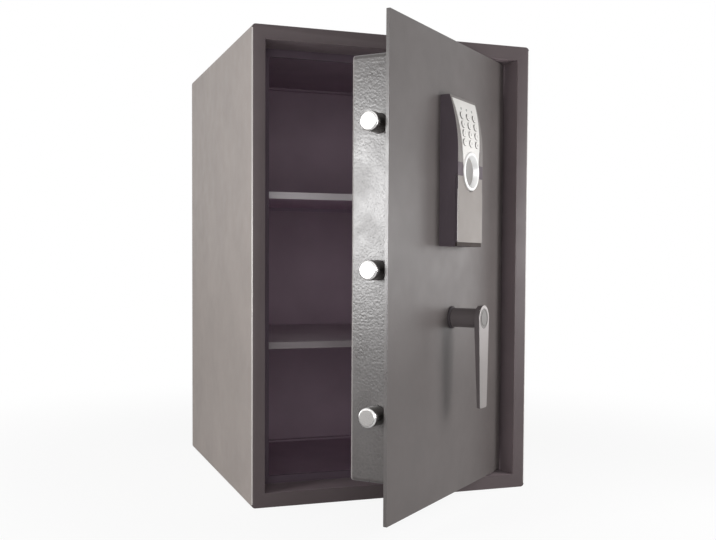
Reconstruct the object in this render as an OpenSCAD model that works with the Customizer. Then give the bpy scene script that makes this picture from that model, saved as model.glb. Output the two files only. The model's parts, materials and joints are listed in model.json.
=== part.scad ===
// Electronic safe: a steel cabinet with a recessed door on two hidden pivot pins.
// The door carries a lever handle, a bolt work with three round bolts and a keypad unit.
// Millimetres. The origin is the middle of the cabinet's underside, +Z up, the front faces -Y.
// Pieces of the door are drawn where they are when it is shut, then swung about the hinge axis.

/* [Cabinet] */
// Outside width of the cabinet
cabinet_w = 384; // [340:2:460]
// Outside depth of the cabinet
cabinet_d = 420; // [320:2:520]
// Outside height of the cabinet
cabinet_h = 600; // [560:2:760]
// Thickness of the wrapped sheet and of the back
wall_t = 3; // [2:0.5:4]
// Outside radius of the folded long edges
fold_r = 5; // [4.5:0.5:8]

/* [Front frame] */
// Width of the upright face on each side of the door
stile_w = 17; // [15:0.5:22]
// Height of the face above and below the door
rail_h = 18; // [15:0.5:24]
// Thickness of the folded front frame
frame_t = 2.5; // [2:0.25:3]
// Width of the inner lip that hides the bolt ends
latch_lip = 18; // [16:0.5:24]
// Width of the inner lip on the other three sides
side_lip = 10; // [6:0.5:11]

/* [Shelves] */
// Height of the upper shelf's top
upper_shelf_z = 400; // [360:2:440]
// Height of the lower shelf's top
lower_shelf_z = 202; // [160:2:240]
// Sheet thickness of a shelf
shelf_t = 2; // [1.5:0.25:3]
// Depth of a shelf's folded front edge
shelf_edge = 9; // [7:0.5:14]
// Distance from the front of the cabinet to a shelf
shelf_setback = 66; // [63:1:120]

/* [Door] */
// Angle by which the door stands open
door_open = 41.5; // [0:0.5:100]
// Gap between the door and the frame all round
door_gap = 2; // [1.5:0.25:3]
// Thickness of the door plate
plate_t = 4; // [3:0.5:6]
// How far the plate stands past the lock box all round
overhang = 12; // [11:0.5:16]
// Depth of the lock box behind the plate, with its cover
box_depth = 47; // [46:0.5:60]
// Sheet thickness of the lock box
box_t = 2; // [1.5:0.25:3]
// Thickness of the lock box's rear cover
cover_t = 1.5; // [1:0.25:2.5]

/* [Hinge] */
// Distance from the door's hinge edge to the hinge axis
pivot_in = 40; // [38:0.5:60]
// Diameter of a hinge pin
hinge_pin_d = 7; // [5:0.5:8]

/* [Bolt work] */
// Diameter of a locking bolt
bolt_d = 22; // [16:0.5:24]
// Height between one bolt and the next
bolt_pitch = 160; // [130:2:180]
// Distance from the back of the plate to the bolts' axes
bolt_back = 15; // [14:0.5:17]
// How far a thrown bolt stands out of the lock box
bolt_out = 24; // [22:0.5:26]
// Travel of the bolts
bolt_travel = 22; // [18:0.5:22]
// Turn of the handle that draws the bolts
handle_turn = 66; // [50:1:80]
// Diameter of the crank pin
crank_pin_d = 8; // [6:0.5:9]
// Play on each side of the crank pin in its slot
crank_play = 0.45; // [0.4:0.05:0.8]
// Sheet thickness of the bolt carrier
carrier_t = 3; // [2:0.25:3.5]

/* [Handle] */
// Height of the handle's axis below the middle of the door
handle_drop = 59; // [50:1:70]
// Distance that the handle stands out of the door
handle_out = 43; // [38:1:52]
// Length of the lever below its axis
lever_len = 109; // [80:1:130]
// Diameter of the round neck of the handle
neck_d = 23.5; // [20:0.5:28]
// Width of the lever at its head
lever_top_w = 31.5; // [26:0.5:33]
// Width of the lever at its foot
lever_foot_w = 22; // [16:0.5:24]
// Thickness of the lever at its head
lever_top_t = 6.5; // [6:0.5:10]
// Thickness of the lever at its foot
lever_foot_t = 4; // [3.5:0.5:6]
// Thickness of the round plate under the handle
rose_t = 3; // [2.5:0.5:7]
// Diameter of the spindle
spindle_d = 10; // [8:0.5:11]

/* [Keypad unit] */
// Width of the keypad unit
unit_w = 78; // [76:1:90]
// Height of the keypad unit
unit_h = 180; // [178:1:200]
// Height of the unit's middle above the middle of the door
unit_up = 118; // [90:1:130]
// Distance that the unit stands out of the door
unit_out = 23.4; // [22.5:0.1:26]
// Distance that the top edge of the curved face stands out
crest_out = 12; // [12:0.5:16]
// Height of the curved part of the face
crest_h = 68; // [60:1:72]
// Thickness of the face plate that holds the keys
fascia_t = 2.2; // [1.8:0.1:2.6]
// Distance between the keys from left to right
key_pitch_x = 18.9; // [17:0.1:20]
// Distance between the rows of keys
key_pitch_z = 10.7; // [10.5:0.1:12]
// Width of a key
key_w = 11; // [9:0.25:13]
// Height of a key
key_h = 7.8; // [6:0.1:8.2]
// Travel of a key
key_travel = 1.2; // [0.8:0.1:1.3]
// Outside diameter of the ring round the finger dish
ring_d = 47; // [42:0.5:50]
// Depth of the cup that the finger dish lies in
dish_depth = 4.5; // [4:0.5:6]
// Diameter of a battery cell
cell_d = 14.2; // [13:0.1:14.5]
// Length of a battery cell
cell_l = 50.5; // [44:0.5:51]

/* [Fixing holes] */
// Diameter of the fixing holes in the floor and the back
anchor_d = 10; // [8:0.5:14]
// Distance between the floor holes from left to right
floor_pitch_x = 240; // [180:5:260]
// Distance between the floor holes from front to back
floor_pitch_y = 220; // [180:5:240]
// Distance between the back holes from left to right
back_pitch_x = 220; // [180:5:260]
// Distance between the back holes in height
back_pitch_z = 300; // [260:5:330]

/* [Hidden] */

$fn = 48;
// An overshoot that lets a cut break cleanly through a face
eps = 0.5;
// Radial play of a shaft in its bush, and of a piece in its seat
running_fit = 0.05;
// Gap beside a piece that slides or is slipped into place
slip = 0.3;

// Main places of the cabinet
front = -cabinet_d / 2;
half_w = cabinet_w / 2;
mid_z = cabinet_h / 2;
open_w = cabinet_w - 2 * stile_w;
open_h = cabinet_h - 2 * rail_h;
stop_gap = 0.5;
lip_front = plate_t + box_depth + stop_gap;
return_depth = lip_front + frame_t;
inner_w = cabinet_w - 2 * wall_t;
back_rim = 14;

// Main places of the door, as it is when shut
plate_w = open_w - 2 * door_gap;
plate_h = open_h - 2 * door_gap;
box_w = plate_w - 2 * overhang;
box_h = plate_h - 2 * overhang;
box_back = plate_t + box_depth;
box_corner = 5;
flange_w = 12;
flange_back = box_back - cover_t;

// Hinge blocks, bushes and pins
block_w = 30;
block_skin = 0.5;
bush_wall = 1.5;
bush_flange_t = 1.2;
bush_d = hinge_pin_d + 2 * running_fit + 2 * bush_wall;
pivot_back = plate_t + bush_d / 2 + block_skin;
block_wall = 4;
block_back = pivot_back + bush_d / 2 + block_wall;
hinge_x = plate_w / 2 - pivot_in;
hinge_y = front + pivot_back;
bush_flange_w = 1;
bush_flange_d = bush_d + 2 * bush_flange_w;
pin_head_w = 3;
pin_head_d = hinge_pin_d + 2 * pin_head_w;
pin_head_t = 3;
pin_short = 2;
pin_reach = overhang - pin_short;

// Bolt work
bolt_axis = plate_t + bolt_back;
bolt_zs = [mid_z - bolt_pitch, mid_z, mid_z + bolt_pitch];
bolt_end = -box_w / 2 - bolt_out;
bolt_chamfer = 1.6;
carrier_in = 61;
carrier_x = -box_w / 2 + carrier_in;
carrier_gap = 28;
carrier_front = plate_t + carrier_gap;
carrier_back = carrier_front + carrier_t;
web_w = 51;
web_over = 20;
stud_in = 12;
stud_d = 8;
stud_rise = 125;
stud_zs = [mid_z - stud_rise, mid_z + stud_rise];
stud_x = carrier_x + carrier_t + web_w - stud_in;
bolt_stud_d = 10;
nut_flats = 17;
nut_t = 7;
stud_over = 3;
stud_shoulder = 2.5;
stud_neck = 1;
stud_tip = 4;
stud_clip_t = 1.5;
stud_clip_w = 4;
keeper_play = 2;
guide_in = 31;
guide_x = -box_w / 2 + guide_in;
guide_t = 6;
guide_wall = 6;
guide_foot = 14;
guide_foot_t = 2.5;

// Handle, spindle and crank
handle_z = mid_z - handle_drop;
crank_r = bolt_travel / (2 * sin(handle_turn / 2));
crank_pin_x = -crank_r * sin(handle_turn / 2);
crank_pin_z = handle_z + crank_r * cos(handle_turn / 2);
crank_t = 4;
crank_gap = 4;
crank_front = carrier_front - crank_gap - crank_t;
crank_back = crank_front + crank_t;
spindle_bush_wall = 3;
spindle_bush_l = 8;
spindle_bush_d = spindle_d + 2 * spindle_bush_wall;
spindle_bush_back = plate_t + spindle_bush_l;
spindle_flange_w = 4;
spindle_flange_t = 2.5;
clip_t = 1;
clip_groove = 1;
clip_w = 2.5;
rose_rim = 2;
rose_d = neck_d + 2 * rose_rim;
neck_root = rose_t + slip;
cap_rim = 3.5;
cap_d = lever_top_w - 2 * cap_rim;
head_recess = 1.6;
spindle_short = 12;
spindle_in_neck = handle_out - spindle_short;
pin_over = 3;
arm_over = 14;
arm_top = crank_r + arm_over;
arm_low = 20;
arm_right = 26;

// Solenoid over the carrier's arm
plunger_x = 10;
plunger_d = 8;
plunger_stroke = 6;
plunger_y = carrier_front + carrier_t / 2;
plunger_gap = 1;
plunger_low = handle_z + arm_top + plunger_gap;
coil_rise = 21;
coil_low = plunger_low + coil_rise;
coil_w = 34;
coil_h = 42;
coil_t = 22;
coil_back = plunger_y + coil_t / 2;
coil_front = plunger_y - coil_t / 2;
yoke_t = 2;
yoke_foot = 12;
plunger_l = 50;
collar_d = 13;
collar_t = 1.2;
collar_gap = 2.5;
collar_up = plunger_stroke + collar_gap;
spring_r = 5.2;
spring_wire = 0.9;
spring_turns = 5;

// Control board
board_w = 56;
board_h = 58;
board_t = 1.6;
board_x = 92;
board_up = 150;
board_z = mid_z + board_up;
board_gap = 20;
board_front = plate_t + board_gap;
part_in = 6;
chip_w = 18;
chip_t = 2.5;
plug_w = 16;
plug_h = 8;
plug_t = 6;
can_d = 9;
post_d = 6;
post_in = 5;

// Keypad unit
unit_low = mid_z + unit_up - unit_h / 2;
unit_top = unit_low + unit_h;
arc_z = unit_top - crest_h;
arc_drop = unit_out - crest_out;
arc_r = (crest_h * crest_h + arc_drop * arc_drop) / (2 * arc_drop);
unit_wall = 2;
rim_w = 3.5;
sink = 1.6;
dish_down = 89;
dish_z = unit_top - dish_down;
ring_w = 3.5;
ring_crown = 1.6;
dish_d = ring_d - 2 * ring_w;
cup_wall = 1.2;
cup_d = dish_d - 2 * cup_wall;
cup_lip_w = 2.5;
cup_lip_t = 1;
dish_t = 3;
dish_hollow = 1.5;
dish_r = (cup_d * cup_d / 4 + dish_hollow * dish_hollow) / (2 * dish_hollow);
fascia_top = unit_top - rim_w;
fascia_half = unit_w / 2 - rim_w;
keys_down = 23.3;
key_mid_z = unit_top - keys_down - 1.5 * key_pitch_z;
light_up = 8.6;
light_z = key_mid_z + 1.5 * key_pitch_z + light_up;
light_d = 3.4;
light_step = 16.5;
pad_t = 1.6;
pad_out = 8;
pad_in = 5;
pad_low = dish_z + dish_d / 2 + unit_wall;
boss_w = 9;
dome_d = 5;
dome_t = 0.5;
key_root = pad_out + pad_t + dome_t + key_travel + slip;
key_proud = 1.3;
key_gap = 0.4;
key_lip = 1;
key_lip_t = 1.2;
cover_plate_t = 3;
cover_out = unit_out - cover_plate_t;
chin_h = 5;
cover_low = unit_low + chin_h;
cover_down = 7;
cover_top = dish_z - cover_down;
cover_ring_gap = 0.8;
corner_r = 1.5;
chin_back = 0.8;
thumb_in = 1.4;
thumb_h = 15;
thumb_down = 1;
rail_in = 4.2;
rail_x = unit_w / 2 - rail_in;
rail_end = 4;
rail_neck = 2;
rail_head = 4;
rail_deep = 5;
rail_head_t = 2;
cells = 4;
cell_gap = 0.6;
cell_margin = 0.5;
cell_tip = 1.2;
cell_out = cell_d / 2 + unit_wall + slip;
cell_tip_d = 5;
contact_t = 0.5;
bump_d = 4;
contact_room = 2.5;
pocket_w = cell_l + 2 * contact_room;
pocket_h = cells * (cell_d + cell_gap) + 2 * cell_margin;
pocket_up = 6.5;
pocket_low = unit_low + pocket_up;
unit_screw_d = 3;
unit_screw_l = 7.5;
unit_screw_low = 4.5;
unit_screw_in = 6;
screw_head_d = 7;
screw_head_t = 2;
cable_d = 12;
cable_up = 20;

// Places of a list of screws round the rear cover
cover_screw_in = 8.5;
cover_screw_edge = 6;
cover_screw_xs = [-box_w / 2 + cover_screw_in, 0, box_w / 2 - cover_screw_in];
cover_screw_zs = [mid_z - box_h / 2 + cover_screw_edge, mid_z, mid_z + box_h / 2 - cover_screw_edge];
cover_screw_d = 4;

paint = [0.44, 0.42, 0.41];
paint_light = [0.56, 0.54, 0.52];
inside = [0.2, 0.18, 0.2];
hammer = [0.66, 0.64, 0.62];
chrome = [0.86, 0.86, 0.88];
steel = [0.6, 0.6, 0.62];
dark_plastic = [0.22, 0.2, 0.22];
grey_plastic = [0.58, 0.55, 0.53];
silver = [0.83, 0.82, 0.8];

// A flat outline in X and Z, made solid between two depths behind the front plane
module behind(d0, d1) {
    translate([0, front + d1, 0])
        rotate([90, 0, 0])
            linear_extrude(d1 - d0)
                children();
}

// An outline of distance out of the door and height, made solid from x0 to x1
module across(x0, x1) {
    translate([x1, front, 0])
        rotate([90, 0, -90])
            linear_extrude(x1 - x0)
                children();
}

// A rod along Y between two depths behind the front plane
module rod_y(x, z, d0, d1, dia) {
    translate([x, front + d0, z])
        rotate([-90, 0, 0])
            cylinder(h = d1 - d0, d = dia);
}

// A rod along X between two places, at a depth behind the front plane
module rod_x(x0, x1, depth, z, dia) {
    translate([x0, front + depth, z])
        rotate([0, 90, 0])
            cylinder(h = x1 - x0, d = dia);
}

// A block between two corners, its depths counted from the front plane
module block(x0, x1, d0, d1, z0, z1) {
    translate([x0, front + d0, z0])
        cube([x1 - x0, d1 - d0, z1 - z0]);
}

// A rectangle with round corners, centred
module round_rect(w, h, r) {
    square([w - 2 * r, h], center = true);
    square([w, h - 2 * r], center = true);
    for (sx = [-1, 1], sy = [-1, 1])
        translate([sx * (w / 2 - r), sy * (h / 2 - r)])
            circle(r = r);
}

// A slot between the centres of its two round ends
module slot_2d(x0, z0, x1, z1, dia) {
    len = norm([x1 - x0, z1 - z0]);
    translate([x0, z0])
        rotate(atan2(z1 - z0, x1 - x0)) {
            circle(d = dia);
            translate([len, 0])
                circle(d = dia);
            translate([0, -dia / 2])
                square([len, dia]);
        }
}

// An oval as wide as w and as high as h, with round ends
module oval_2d(w, h) {
    slot_2d(-(w - h) / 2, 0, (w - h) / 2, 0, h);
}

// Swings what is drawn shut to where the open door holds it
module on_door() {
    translate([hinge_x, hinge_y, 0])
        rotate([0, 0, door_open])
            translate([-hinge_x, -hinge_y, 0])
                children();
}

// Cabinet

module shell_outline(inset, r) {
    translate([0, mid_z])
        round_rect(cabinet_w - 2 * inset, cabinet_h - 2 * inset, r);
}

module cabinet_shell() {
    color(paint_light)
    difference() {
        behind(frame_t, cabinet_d)
            difference() {
                shell_outline(0, fold_r);
                shell_outline(wall_t, fold_r - wall_t / 2);
            }
        for (sx = [-1, 1], sy = [-1, 1])
            translate([sx * floor_pitch_x / 2, sy * floor_pitch_y / 2, -eps])
                cylinder(h = wall_t + 2 * eps, d = anchor_d);
    }
}

// A shallow pan: its folded rim lies against the inside of the shell
module back_panel() {
    color(paint)
    difference() {
        behind(cabinet_d - back_rim, cabinet_d)
            shell_outline(wall_t, fold_r - wall_t / 2);
        behind(cabinet_d - back_rim - eps, cabinet_d - wall_t)
            shell_outline(2 * wall_t, 1.5);
        for (sx = [-1, 1], sz = [-1, 1])
            rod_y(sx * back_pitch_x / 2, mid_z + sz * back_pitch_z / 2,
                cabinet_d - wall_t - eps, cabinet_d + eps, anchor_d);
    }
}

module opening_outline(grow) {
    translate([0, mid_z])
        square([open_w + 2 * grow, open_h + 2 * grow], center = true);
}

// The folded frame: a face, returns that the door closes between, and an inner lip
module front_frame() {
    lip_left = -open_w / 2 + latch_lip;
    lip_right = open_w / 2 - side_lip;
    color(paint)
    difference() {
        union() {
            behind(0, frame_t)
                difference() {
                    shell_outline(0, fold_r);
                    opening_outline(0);
                }
            behind(0, return_depth)
                difference() {
                    opening_outline(frame_t);
                    opening_outline(0);
                }
            behind(lip_front, return_depth)
                difference() {
                    opening_outline(frame_t);
                    translate([lip_left, rail_h + side_lip])
                        square([lip_right - lip_left, open_h - 2 * side_lip]);
                }
        }
        for (z = bolt_zs)
            rod_x(-half_w + wall_t, -open_w / 2 + eps, bolt_axis, z, bolt_d + 2 * keeper_play);
        translate([hinge_x, hinge_y, -eps])
            cylinder(h = cabinet_h + 2 * eps, d = hinge_pin_d + 2 * running_fit);
    }
}

// A tray shelf: the front edge is folded down and back under, the sides and rear down
module shelf(top_z) {
    back = cabinet_d - back_rim - slip;
    half = inner_w / 2 - slip;
    side_fold = 8;
    edge_return = 10;
    block(-half, half, shelf_setback, back, top_z - shelf_t, top_z);
    block(-half, half, shelf_setback, shelf_setback + shelf_t, top_z - shelf_edge, top_z);
    block(-half + side_fold, half - side_fold, shelf_setback, shelf_setback + edge_return,
        top_z - shelf_edge, top_z - shelf_edge + shelf_t);
    block(-half, half, back - shelf_t, back, top_z - side_fold, top_z);
}

module upper_shelf() {
    color(grey_plastic)
        shelf(upper_shelf_z);
}

module lower_shelf() {
    color(grey_plastic)
        shelf(lower_shelf_z);
}

// Angles on the side walls, four under each shelf
module shelf_brackets() {
    leg = 16;
    long = 30;
    thick = 2;
    setback = 30;
    front_d = shelf_setback + setback;
    rear_d = cabinet_d - wall_t - setback - long;
    color(steel)
    for (side = [-1, 1], depth = [front_d, rear_d], z = [lower_shelf_z, upper_shelf_z])
        translate([side * inner_w / 2, front + depth, z - shelf_t])
            mirror([side > 0 ? 1 : 0, 0, 0]) {
                translate([0, 0, -leg])
                    cube([thick, long, leg]);
                translate([0, 0, -thick])
                    cube([leg, long, thick]);
            }
}

// One hinge pin in the upper return, its head above the sheet; the lower one is its mirror image
module upper_hinge_pin() {
    under = cabinet_h - rail_h;
    translate([hinge_x, hinge_y, 0]) {
        translate([0, 0, under - door_gap - pin_reach])
            cylinder(h = pin_reach + door_gap + frame_t + pin_head_t / 2, d = hinge_pin_d);
        translate([0, 0, under + frame_t])
            cylinder(h = pin_head_t, d = pin_head_d);
    }
}

module both_ends() {
    children();
    translate([0, 0, cabinet_h])
        mirror([0, 0, 1])
            children();
}

module hinge_pins() {
    color(steel)
    both_ends()
        upper_hinge_pin();
}

// Door

module door_plate() {
    color(paint)
    on_door()
    difference() {
        behind(0, plate_t)
            translate([0, mid_z])
                round_rect(plate_w, plate_h, corner_r);
        rod_y(0, handle_z, -eps, plate_t + eps, spindle_bush_d + 2 * running_fit);
        rod_y(0, arc_z + cable_up, -eps, plate_t + eps, cable_d);
        for (p = unit_screw_places())
            rod_y(p[0], p[1], -eps, plate_t + eps, unit_screw_d + 4 * slip);
    }
}

module box_outline(inset) {
    translate([0, mid_z])
        round_rect(box_w - 2 * inset, box_h - 2 * inset, box_corner - inset / 2);
}

// The pressed box on the back of the plate, open to the rear inside its flange
module lock_box() {
    color(hammer)
    on_door()
    difference() {
        behind(plate_t, flange_back)
            box_outline(0);
        behind(plate_t - eps, flange_back - box_t)
            box_outline(box_t);
        behind(plate_t, flange_back + eps)
            translate([0, mid_z])
                square([box_w - 2 * flange_w, box_h - 2 * flange_w], center = true);
        for (z = bolt_zs)
            rod_x(-box_w / 2 - eps, -box_w / 2 + box_t + eps, bolt_axis, z, bolt_d + 2 * slip);
        for (p = cover_screw_places())
            rod_y(p[0], p[1], flange_back - box_t - eps, flange_back + eps, cover_screw_d);
    }
}

function cover_screw_places() = [
    for (x = cover_screw_xs, z = cover_screw_zs) if (x != 0 || z != mid_z) [x, z]
];

module rear_cover() {
    color(paint)
    on_door()
    difference() {
        behind(flange_back, box_back)
            box_outline(0);
        for (p = cover_screw_places())
            rod_y(p[0], p[1], flange_back - eps, box_back + eps, cover_screw_d);
    }
}

module cover_screws() {
    head_t = 1.8;
    grip = 4;
    color(steel)
    on_door()
    for (p = cover_screw_places()) {
        rod_y(p[0], p[1], flange_back - box_t - grip, box_back, cover_screw_d - 2 * running_fit);
        rod_y(p[0], p[1], box_back, box_back + head_t, screw_head_d);
    }
}

// A steel block on the end of the lock box, bored for a bush
module hinge_blocks() {
    top = mid_z + plate_h / 2;
    color(steel)
    on_door()
    both_ends()
    difference() {
        block(hinge_x - block_w / 2, hinge_x + block_w / 2, plate_t, block_back, top - overhang, top);
        translate([hinge_x, hinge_y, top - overhang - eps])
            cylinder(h = overhang + 2 * eps, d = bush_d + 2 * running_fit);
    }
}

module hinge_bushes() {
    top = mid_z + plate_h / 2;
    color([0.72, 0.6, 0.36])
    on_door()
    both_ends()
    translate([hinge_x, hinge_y, 0])
    difference() {
        union() {
            translate([0, 0, top - overhang])
                cylinder(h = overhang, d = bush_d);
            translate([0, 0, top])
                cylinder(h = bush_flange_t, d = bush_flange_d);
        }
        translate([0, 0, top - overhang - eps])
            cylinder(h = overhang + bush_flange_t + 2 * eps, d = hinge_pin_d + 2 * running_fit);
    }
}

// Three guides, each a bored plate with a foot on the back of the door plate
module bolt_guides() {
    half = bolt_d / 2 + guide_wall;
    color(steel)
    on_door()
    for (z = bolt_zs)
        difference() {
            union() {
                block(guide_x, guide_x + guide_t, plate_t, bolt_axis, z - half, z + half);
                intersection() {
                    rod_x(guide_x, guide_x + guide_t, bolt_axis, z, 2 * half);
                    block(guide_x, guide_x + guide_t, bolt_axis - eps, box_back, z - half, z + half);
                }
                block(guide_x, guide_x + guide_foot, plate_t, plate_t + guide_foot_t, z - half, z + half);
            }
            rod_x(guide_x - eps, guide_x + guide_foot + eps, bolt_axis, z, bolt_d + 2 * running_fit);
        }
}

// Shoulder studs that the carrier slides on
module carrier_studs() {
    color(steel)
    on_door()
    for (z = stud_zs) {
        rod_y(stud_x, z, plate_t, carrier_front - slip, stud_d + 2 * stud_shoulder);
        rod_y(stud_x, z, carrier_front - slip, carrier_back + slip, stud_d);
        rod_y(stud_x, z, carrier_back + slip, carrier_back + stud_tip, stud_d - 2 * stud_neck);
    }
}

module stud_clips() {
    color(steel)
    on_door()
    for (z = stud_zs)
        difference() {
            rod_y(stud_x, z, carrier_back + slip, carrier_back + slip + stud_clip_t,
                stud_d - 2 * stud_neck + 2 * stud_clip_w);
            rod_y(stud_x, z, carrier_back, carrier_back + stud_tip, stud_d - 2 * stud_neck + 2 * running_fit);
        }
}

module spindle_bush() {
    color([0.72, 0.6, 0.36])
    on_door()
    difference() {
        union() {
            rod_y(0, handle_z, 0, spindle_bush_back, spindle_bush_d);
            rod_y(0, handle_z, plate_t, plate_t + spindle_flange_t, spindle_bush_d + 2 * spindle_flange_w);
        }
        rod_y(0, handle_z, -eps, spindle_bush_back + eps, spindle_d + 2 * running_fit);
    }
}

// The round plate under the handle, with a turned edge
module handle_rose() {
    edge = 1;
    color(grey_plastic)
    on_door()
    translate([0, front, handle_z])
        rotate([90, 0, 0])
            difference() {
                rotate_extrude()
                    polygon([[0, 0], [rose_d / 2, 0], [rose_d / 2, rose_t - edge],
                        [rose_d / 2 - edge, rose_t], [0, rose_t]]);
                translate([0, 0, -eps])
                    cylinder(h = rose_t + 2 * eps, d = spindle_d + 2 * slip);
            }
}

// A coil in an open steel yoke, on an angle from the door plate
module solenoid() {
    x0 = plunger_x - coil_w / 2;
    x1 = plunger_x + coil_w / 2;
    top = coil_low + coil_h;
    color(steel)
    on_door()
    difference() {
        union() {
            block(x0, x1, coil_front, coil_back, coil_low, coil_low + yoke_t);
            block(x0, x1, coil_front, coil_back, top - yoke_t, top);
            block(x0, x1, coil_front, coil_front + yoke_t, coil_low, top);
            block(x0, x1, plate_t, coil_front + yoke_t, top - yoke_t, top);
            block(x0, x1, plate_t, plate_t + yoke_t, top - yoke_t, top + yoke_foot);
            translate([plunger_x, front + plunger_y, coil_low])
                cylinder(h = coil_h, d = coil_back - coil_front - yoke_t);
        }
        translate([plunger_x, front + plunger_y, coil_low - eps])
            cylinder(h = coil_h - yoke_t, d = plunger_d + 2 * running_fit);
    }
}

module control_board() {
    back = board_front + board_t;
    left = board_x - board_w / 2;
    right = board_x + board_w / 2;
    low = board_z - board_h / 2;
    high = board_z + board_h / 2;
    color([0.1, 0.35, 0.2])
    on_door() {
        block(left, right, board_front, back, low, high);
        // processor, plug and capacitor
        block(board_x - chip_w / 2, board_x + chip_w / 2, back, back + chip_t,
            board_z - chip_w / 2, board_z + chip_w / 2);
        block(left + part_in, left + part_in + plug_w, back, back + plug_t,
            high - part_in - plug_h, high - part_in);
        rod_y(right - part_in - can_d / 2, low + part_in + can_d / 2, back, back + can_d, can_d);
    }
}

module board_standoffs() {
    color(steel)
    on_door()
    for (sx = [-1, 1], sz = [-1, 1])
        rod_y(board_x + sx * (board_w / 2 - post_in), board_z + sz * (board_h / 2 - post_in),
            plate_t, board_front, post_d);
}

// Keypad unit

// How far the curved face stands out at a height
function face_out(z) = let (rise = max(z - arc_z, 0))
    unit_out - arc_r + sqrt(arc_r * arc_r - rise * rise);

function unit_screw_places() = [
    for (sx = [-1, 1], z = [unit_low + unit_screw_low, unit_top - unit_screw_in])
        [sx * (unit_w / 2 - unit_screw_in), z]
];

// The unit's side view between two heights, its face set back by inset, from root outwards
module side_view(inset, z0, z1, root = 0) {
    translate([root, z0])
        square([unit_out - inset - root, min(z1, arc_z) - z0]);
    if (z1 > arc_z)
        intersection() {
            translate([root, arc_z])
                square([unit_out - root + eps, z1 - arc_z]);
            translate([unit_out - arc_r, arc_z])
                circle(r = arc_r - inset, $fn = 360);
        }
}

// Front view of the face plate: straight sides that run down to the ring
module fascia_sides(grow) {
    waist = ring_d / 2 + grow - ring_w / 3;
    polygon([
        [-fascia_half - grow, fascia_top + grow], [fascia_half + grow, fascia_top + grow],
        [waist, dish_z], [-waist, dish_z]
    ]);
}

// Front view of the round foot that the ring sits on
module fascia_foot(grow) {
    translate([0, dish_z])
        circle(d = ring_d + 2 * grow);
}

module key_holes_outline(grow) {
    for (row = [0 : 3], col = [-1 : 1])
        translate([col * key_pitch_x, key_row_z(row)])
            oval_2d(key_w + 2 * grow, key_h + 2 * grow);
}

function key_row_z(row) = key_mid_z + (1.5 - row) * key_pitch_z;

// The moulded body: side walls, a curved front with a seat for the face plate, and the battery bay
module keypad_housing() {
    floor_top = pocket_low + pocket_h + unit_wall;
    bay_z0 = pocket_low;
    boss_x = unit_w / 2 - unit_screw_in;
    window_w = 2 * key_pitch_x + key_w + 2 * key_lip + 2 * key_gap + 2 * slip;
    window_low = key_row_z(3) - key_h / 2 - key_lip - key_gap - slip;
    color(dark_plastic)
    on_door()
    difference() {
        union() {
            across(-unit_w / 2, unit_w / 2)
                side_view(0, cover_top + slip, unit_top);
            across(-unit_w / 2, unit_w / 2)
                translate([0, unit_low])
                    square([cover_out - slip, cover_top + slip + eps - unit_low]);
        }
        // hollow behind the keys, open to the door plate
        difference() {
            across(-unit_w / 2 + unit_wall, unit_w / 2 - unit_wall)
                side_view(sink + unit_wall, floor_top, unit_top - unit_wall, -eps);
            // bosses that carry the board, the upper two for screws
            for (side = [-1, 1], z = [pad_low + boss_w / 2, unit_top - unit_screw_in])
                block(side * boss_x - boss_w / 2, side * boss_x + boss_w / 2, -pad_out, unit_wall,
                    z - boss_w / 2, z + boss_w / 2);
        }
        // seat of the face plate and of the ring
        difference() {
            union() {
                behind(-unit_out - 1, -1)
                    fascia_sides(slip / 2);
                behind(-unit_out - 1, -1)
                    fascia_foot(slip / 2);
            }
            across(-unit_w, unit_w)
                side_view(sink, unit_low, unit_top);
        }
        // window behind the keys and the hole for the dish
        behind(-unit_out - 1, -1)
            translate([-window_w / 2, window_low])
                square([window_w, fascia_top - rim_w - window_low]);
        rod_y(0, dish_z, -unit_out - 1, -1, dish_d + 2 * running_fit);
        // battery bay
        block(-pocket_w / 2, pocket_w / 2, -unit_out, -unit_wall, bay_z0, bay_z0 + pocket_h);
        // grooves that the battery cover runs in
        for (side = [-1, 1]) {
            block(side * rail_x - rail_neck / 2 - slip, side * rail_x + rail_neck / 2 + slip,
                -cover_out, -cover_out + rail_deep + slip, unit_low - eps, cover_top);
            block(side * rail_x - rail_head / 2 - slip, side * rail_x + rail_head / 2 + slip,
                -cover_out + rail_deep - rail_head_t - slip, -cover_out + rail_deep + slip,
                unit_low - eps, cover_top);
        }
        for (p = unit_screw_places())
            rod_y(p[0], p[1], -unit_screw_l - 1, eps, unit_screw_d);
    }
}

// The curved sheet that the face plate is cut from
module fascia_sheet() {
    across(-unit_w / 2, unit_w / 2)
        difference() {
            side_view(sink - fascia_t, unit_low, unit_top);
            side_view(sink, unit_low - 1, unit_top + 1, -eps);
        }
}

module keypad_fascia() {
    color(silver)
    on_door()
    difference() {
        union() {
            intersection() {
                fascia_sheet();
                behind(-unit_out - 2, -1)
                    fascia_sides(0);
            }
            intersection() {
                fascia_sheet();
                behind(-unit_out - 2, -1)
                    fascia_foot(0);
            }
        }
        behind(-unit_out - 3, 1)
            key_holes_outline(key_gap);
        for (col = [-1 : 1])
            rod_y(col * light_step, light_z, -unit_out - 3, 1, light_d + 2 * running_fit);
        rod_y(0, dish_z, -unit_out - 3, 1, dish_d + 2 * running_fit);
    }
}

// Circuit board with a dome switch under each key
module keypad_board() {
    color([0.1, 0.35, 0.2])
    on_door() {
        block(-unit_w / 2 + pad_in, unit_w / 2 - pad_in, -pad_out - pad_t, -pad_out, pad_low, unit_top - pad_in);
        for (row = [0 : 3], col = [-1 : 1])
            rod_y(col * key_pitch_x, key_row_z(row), -pad_out - pad_t - dome_t, -pad_out - pad_t, dome_d);
    }
}

module status_lights() {
    color([0.75, 0.3, 0.25])
    on_door()
    for (col = [-1 : 1])
        rod_y(col * light_step, light_z, -face_out(light_z) - 1, -pad_out - pad_t, light_d);
}

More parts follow.
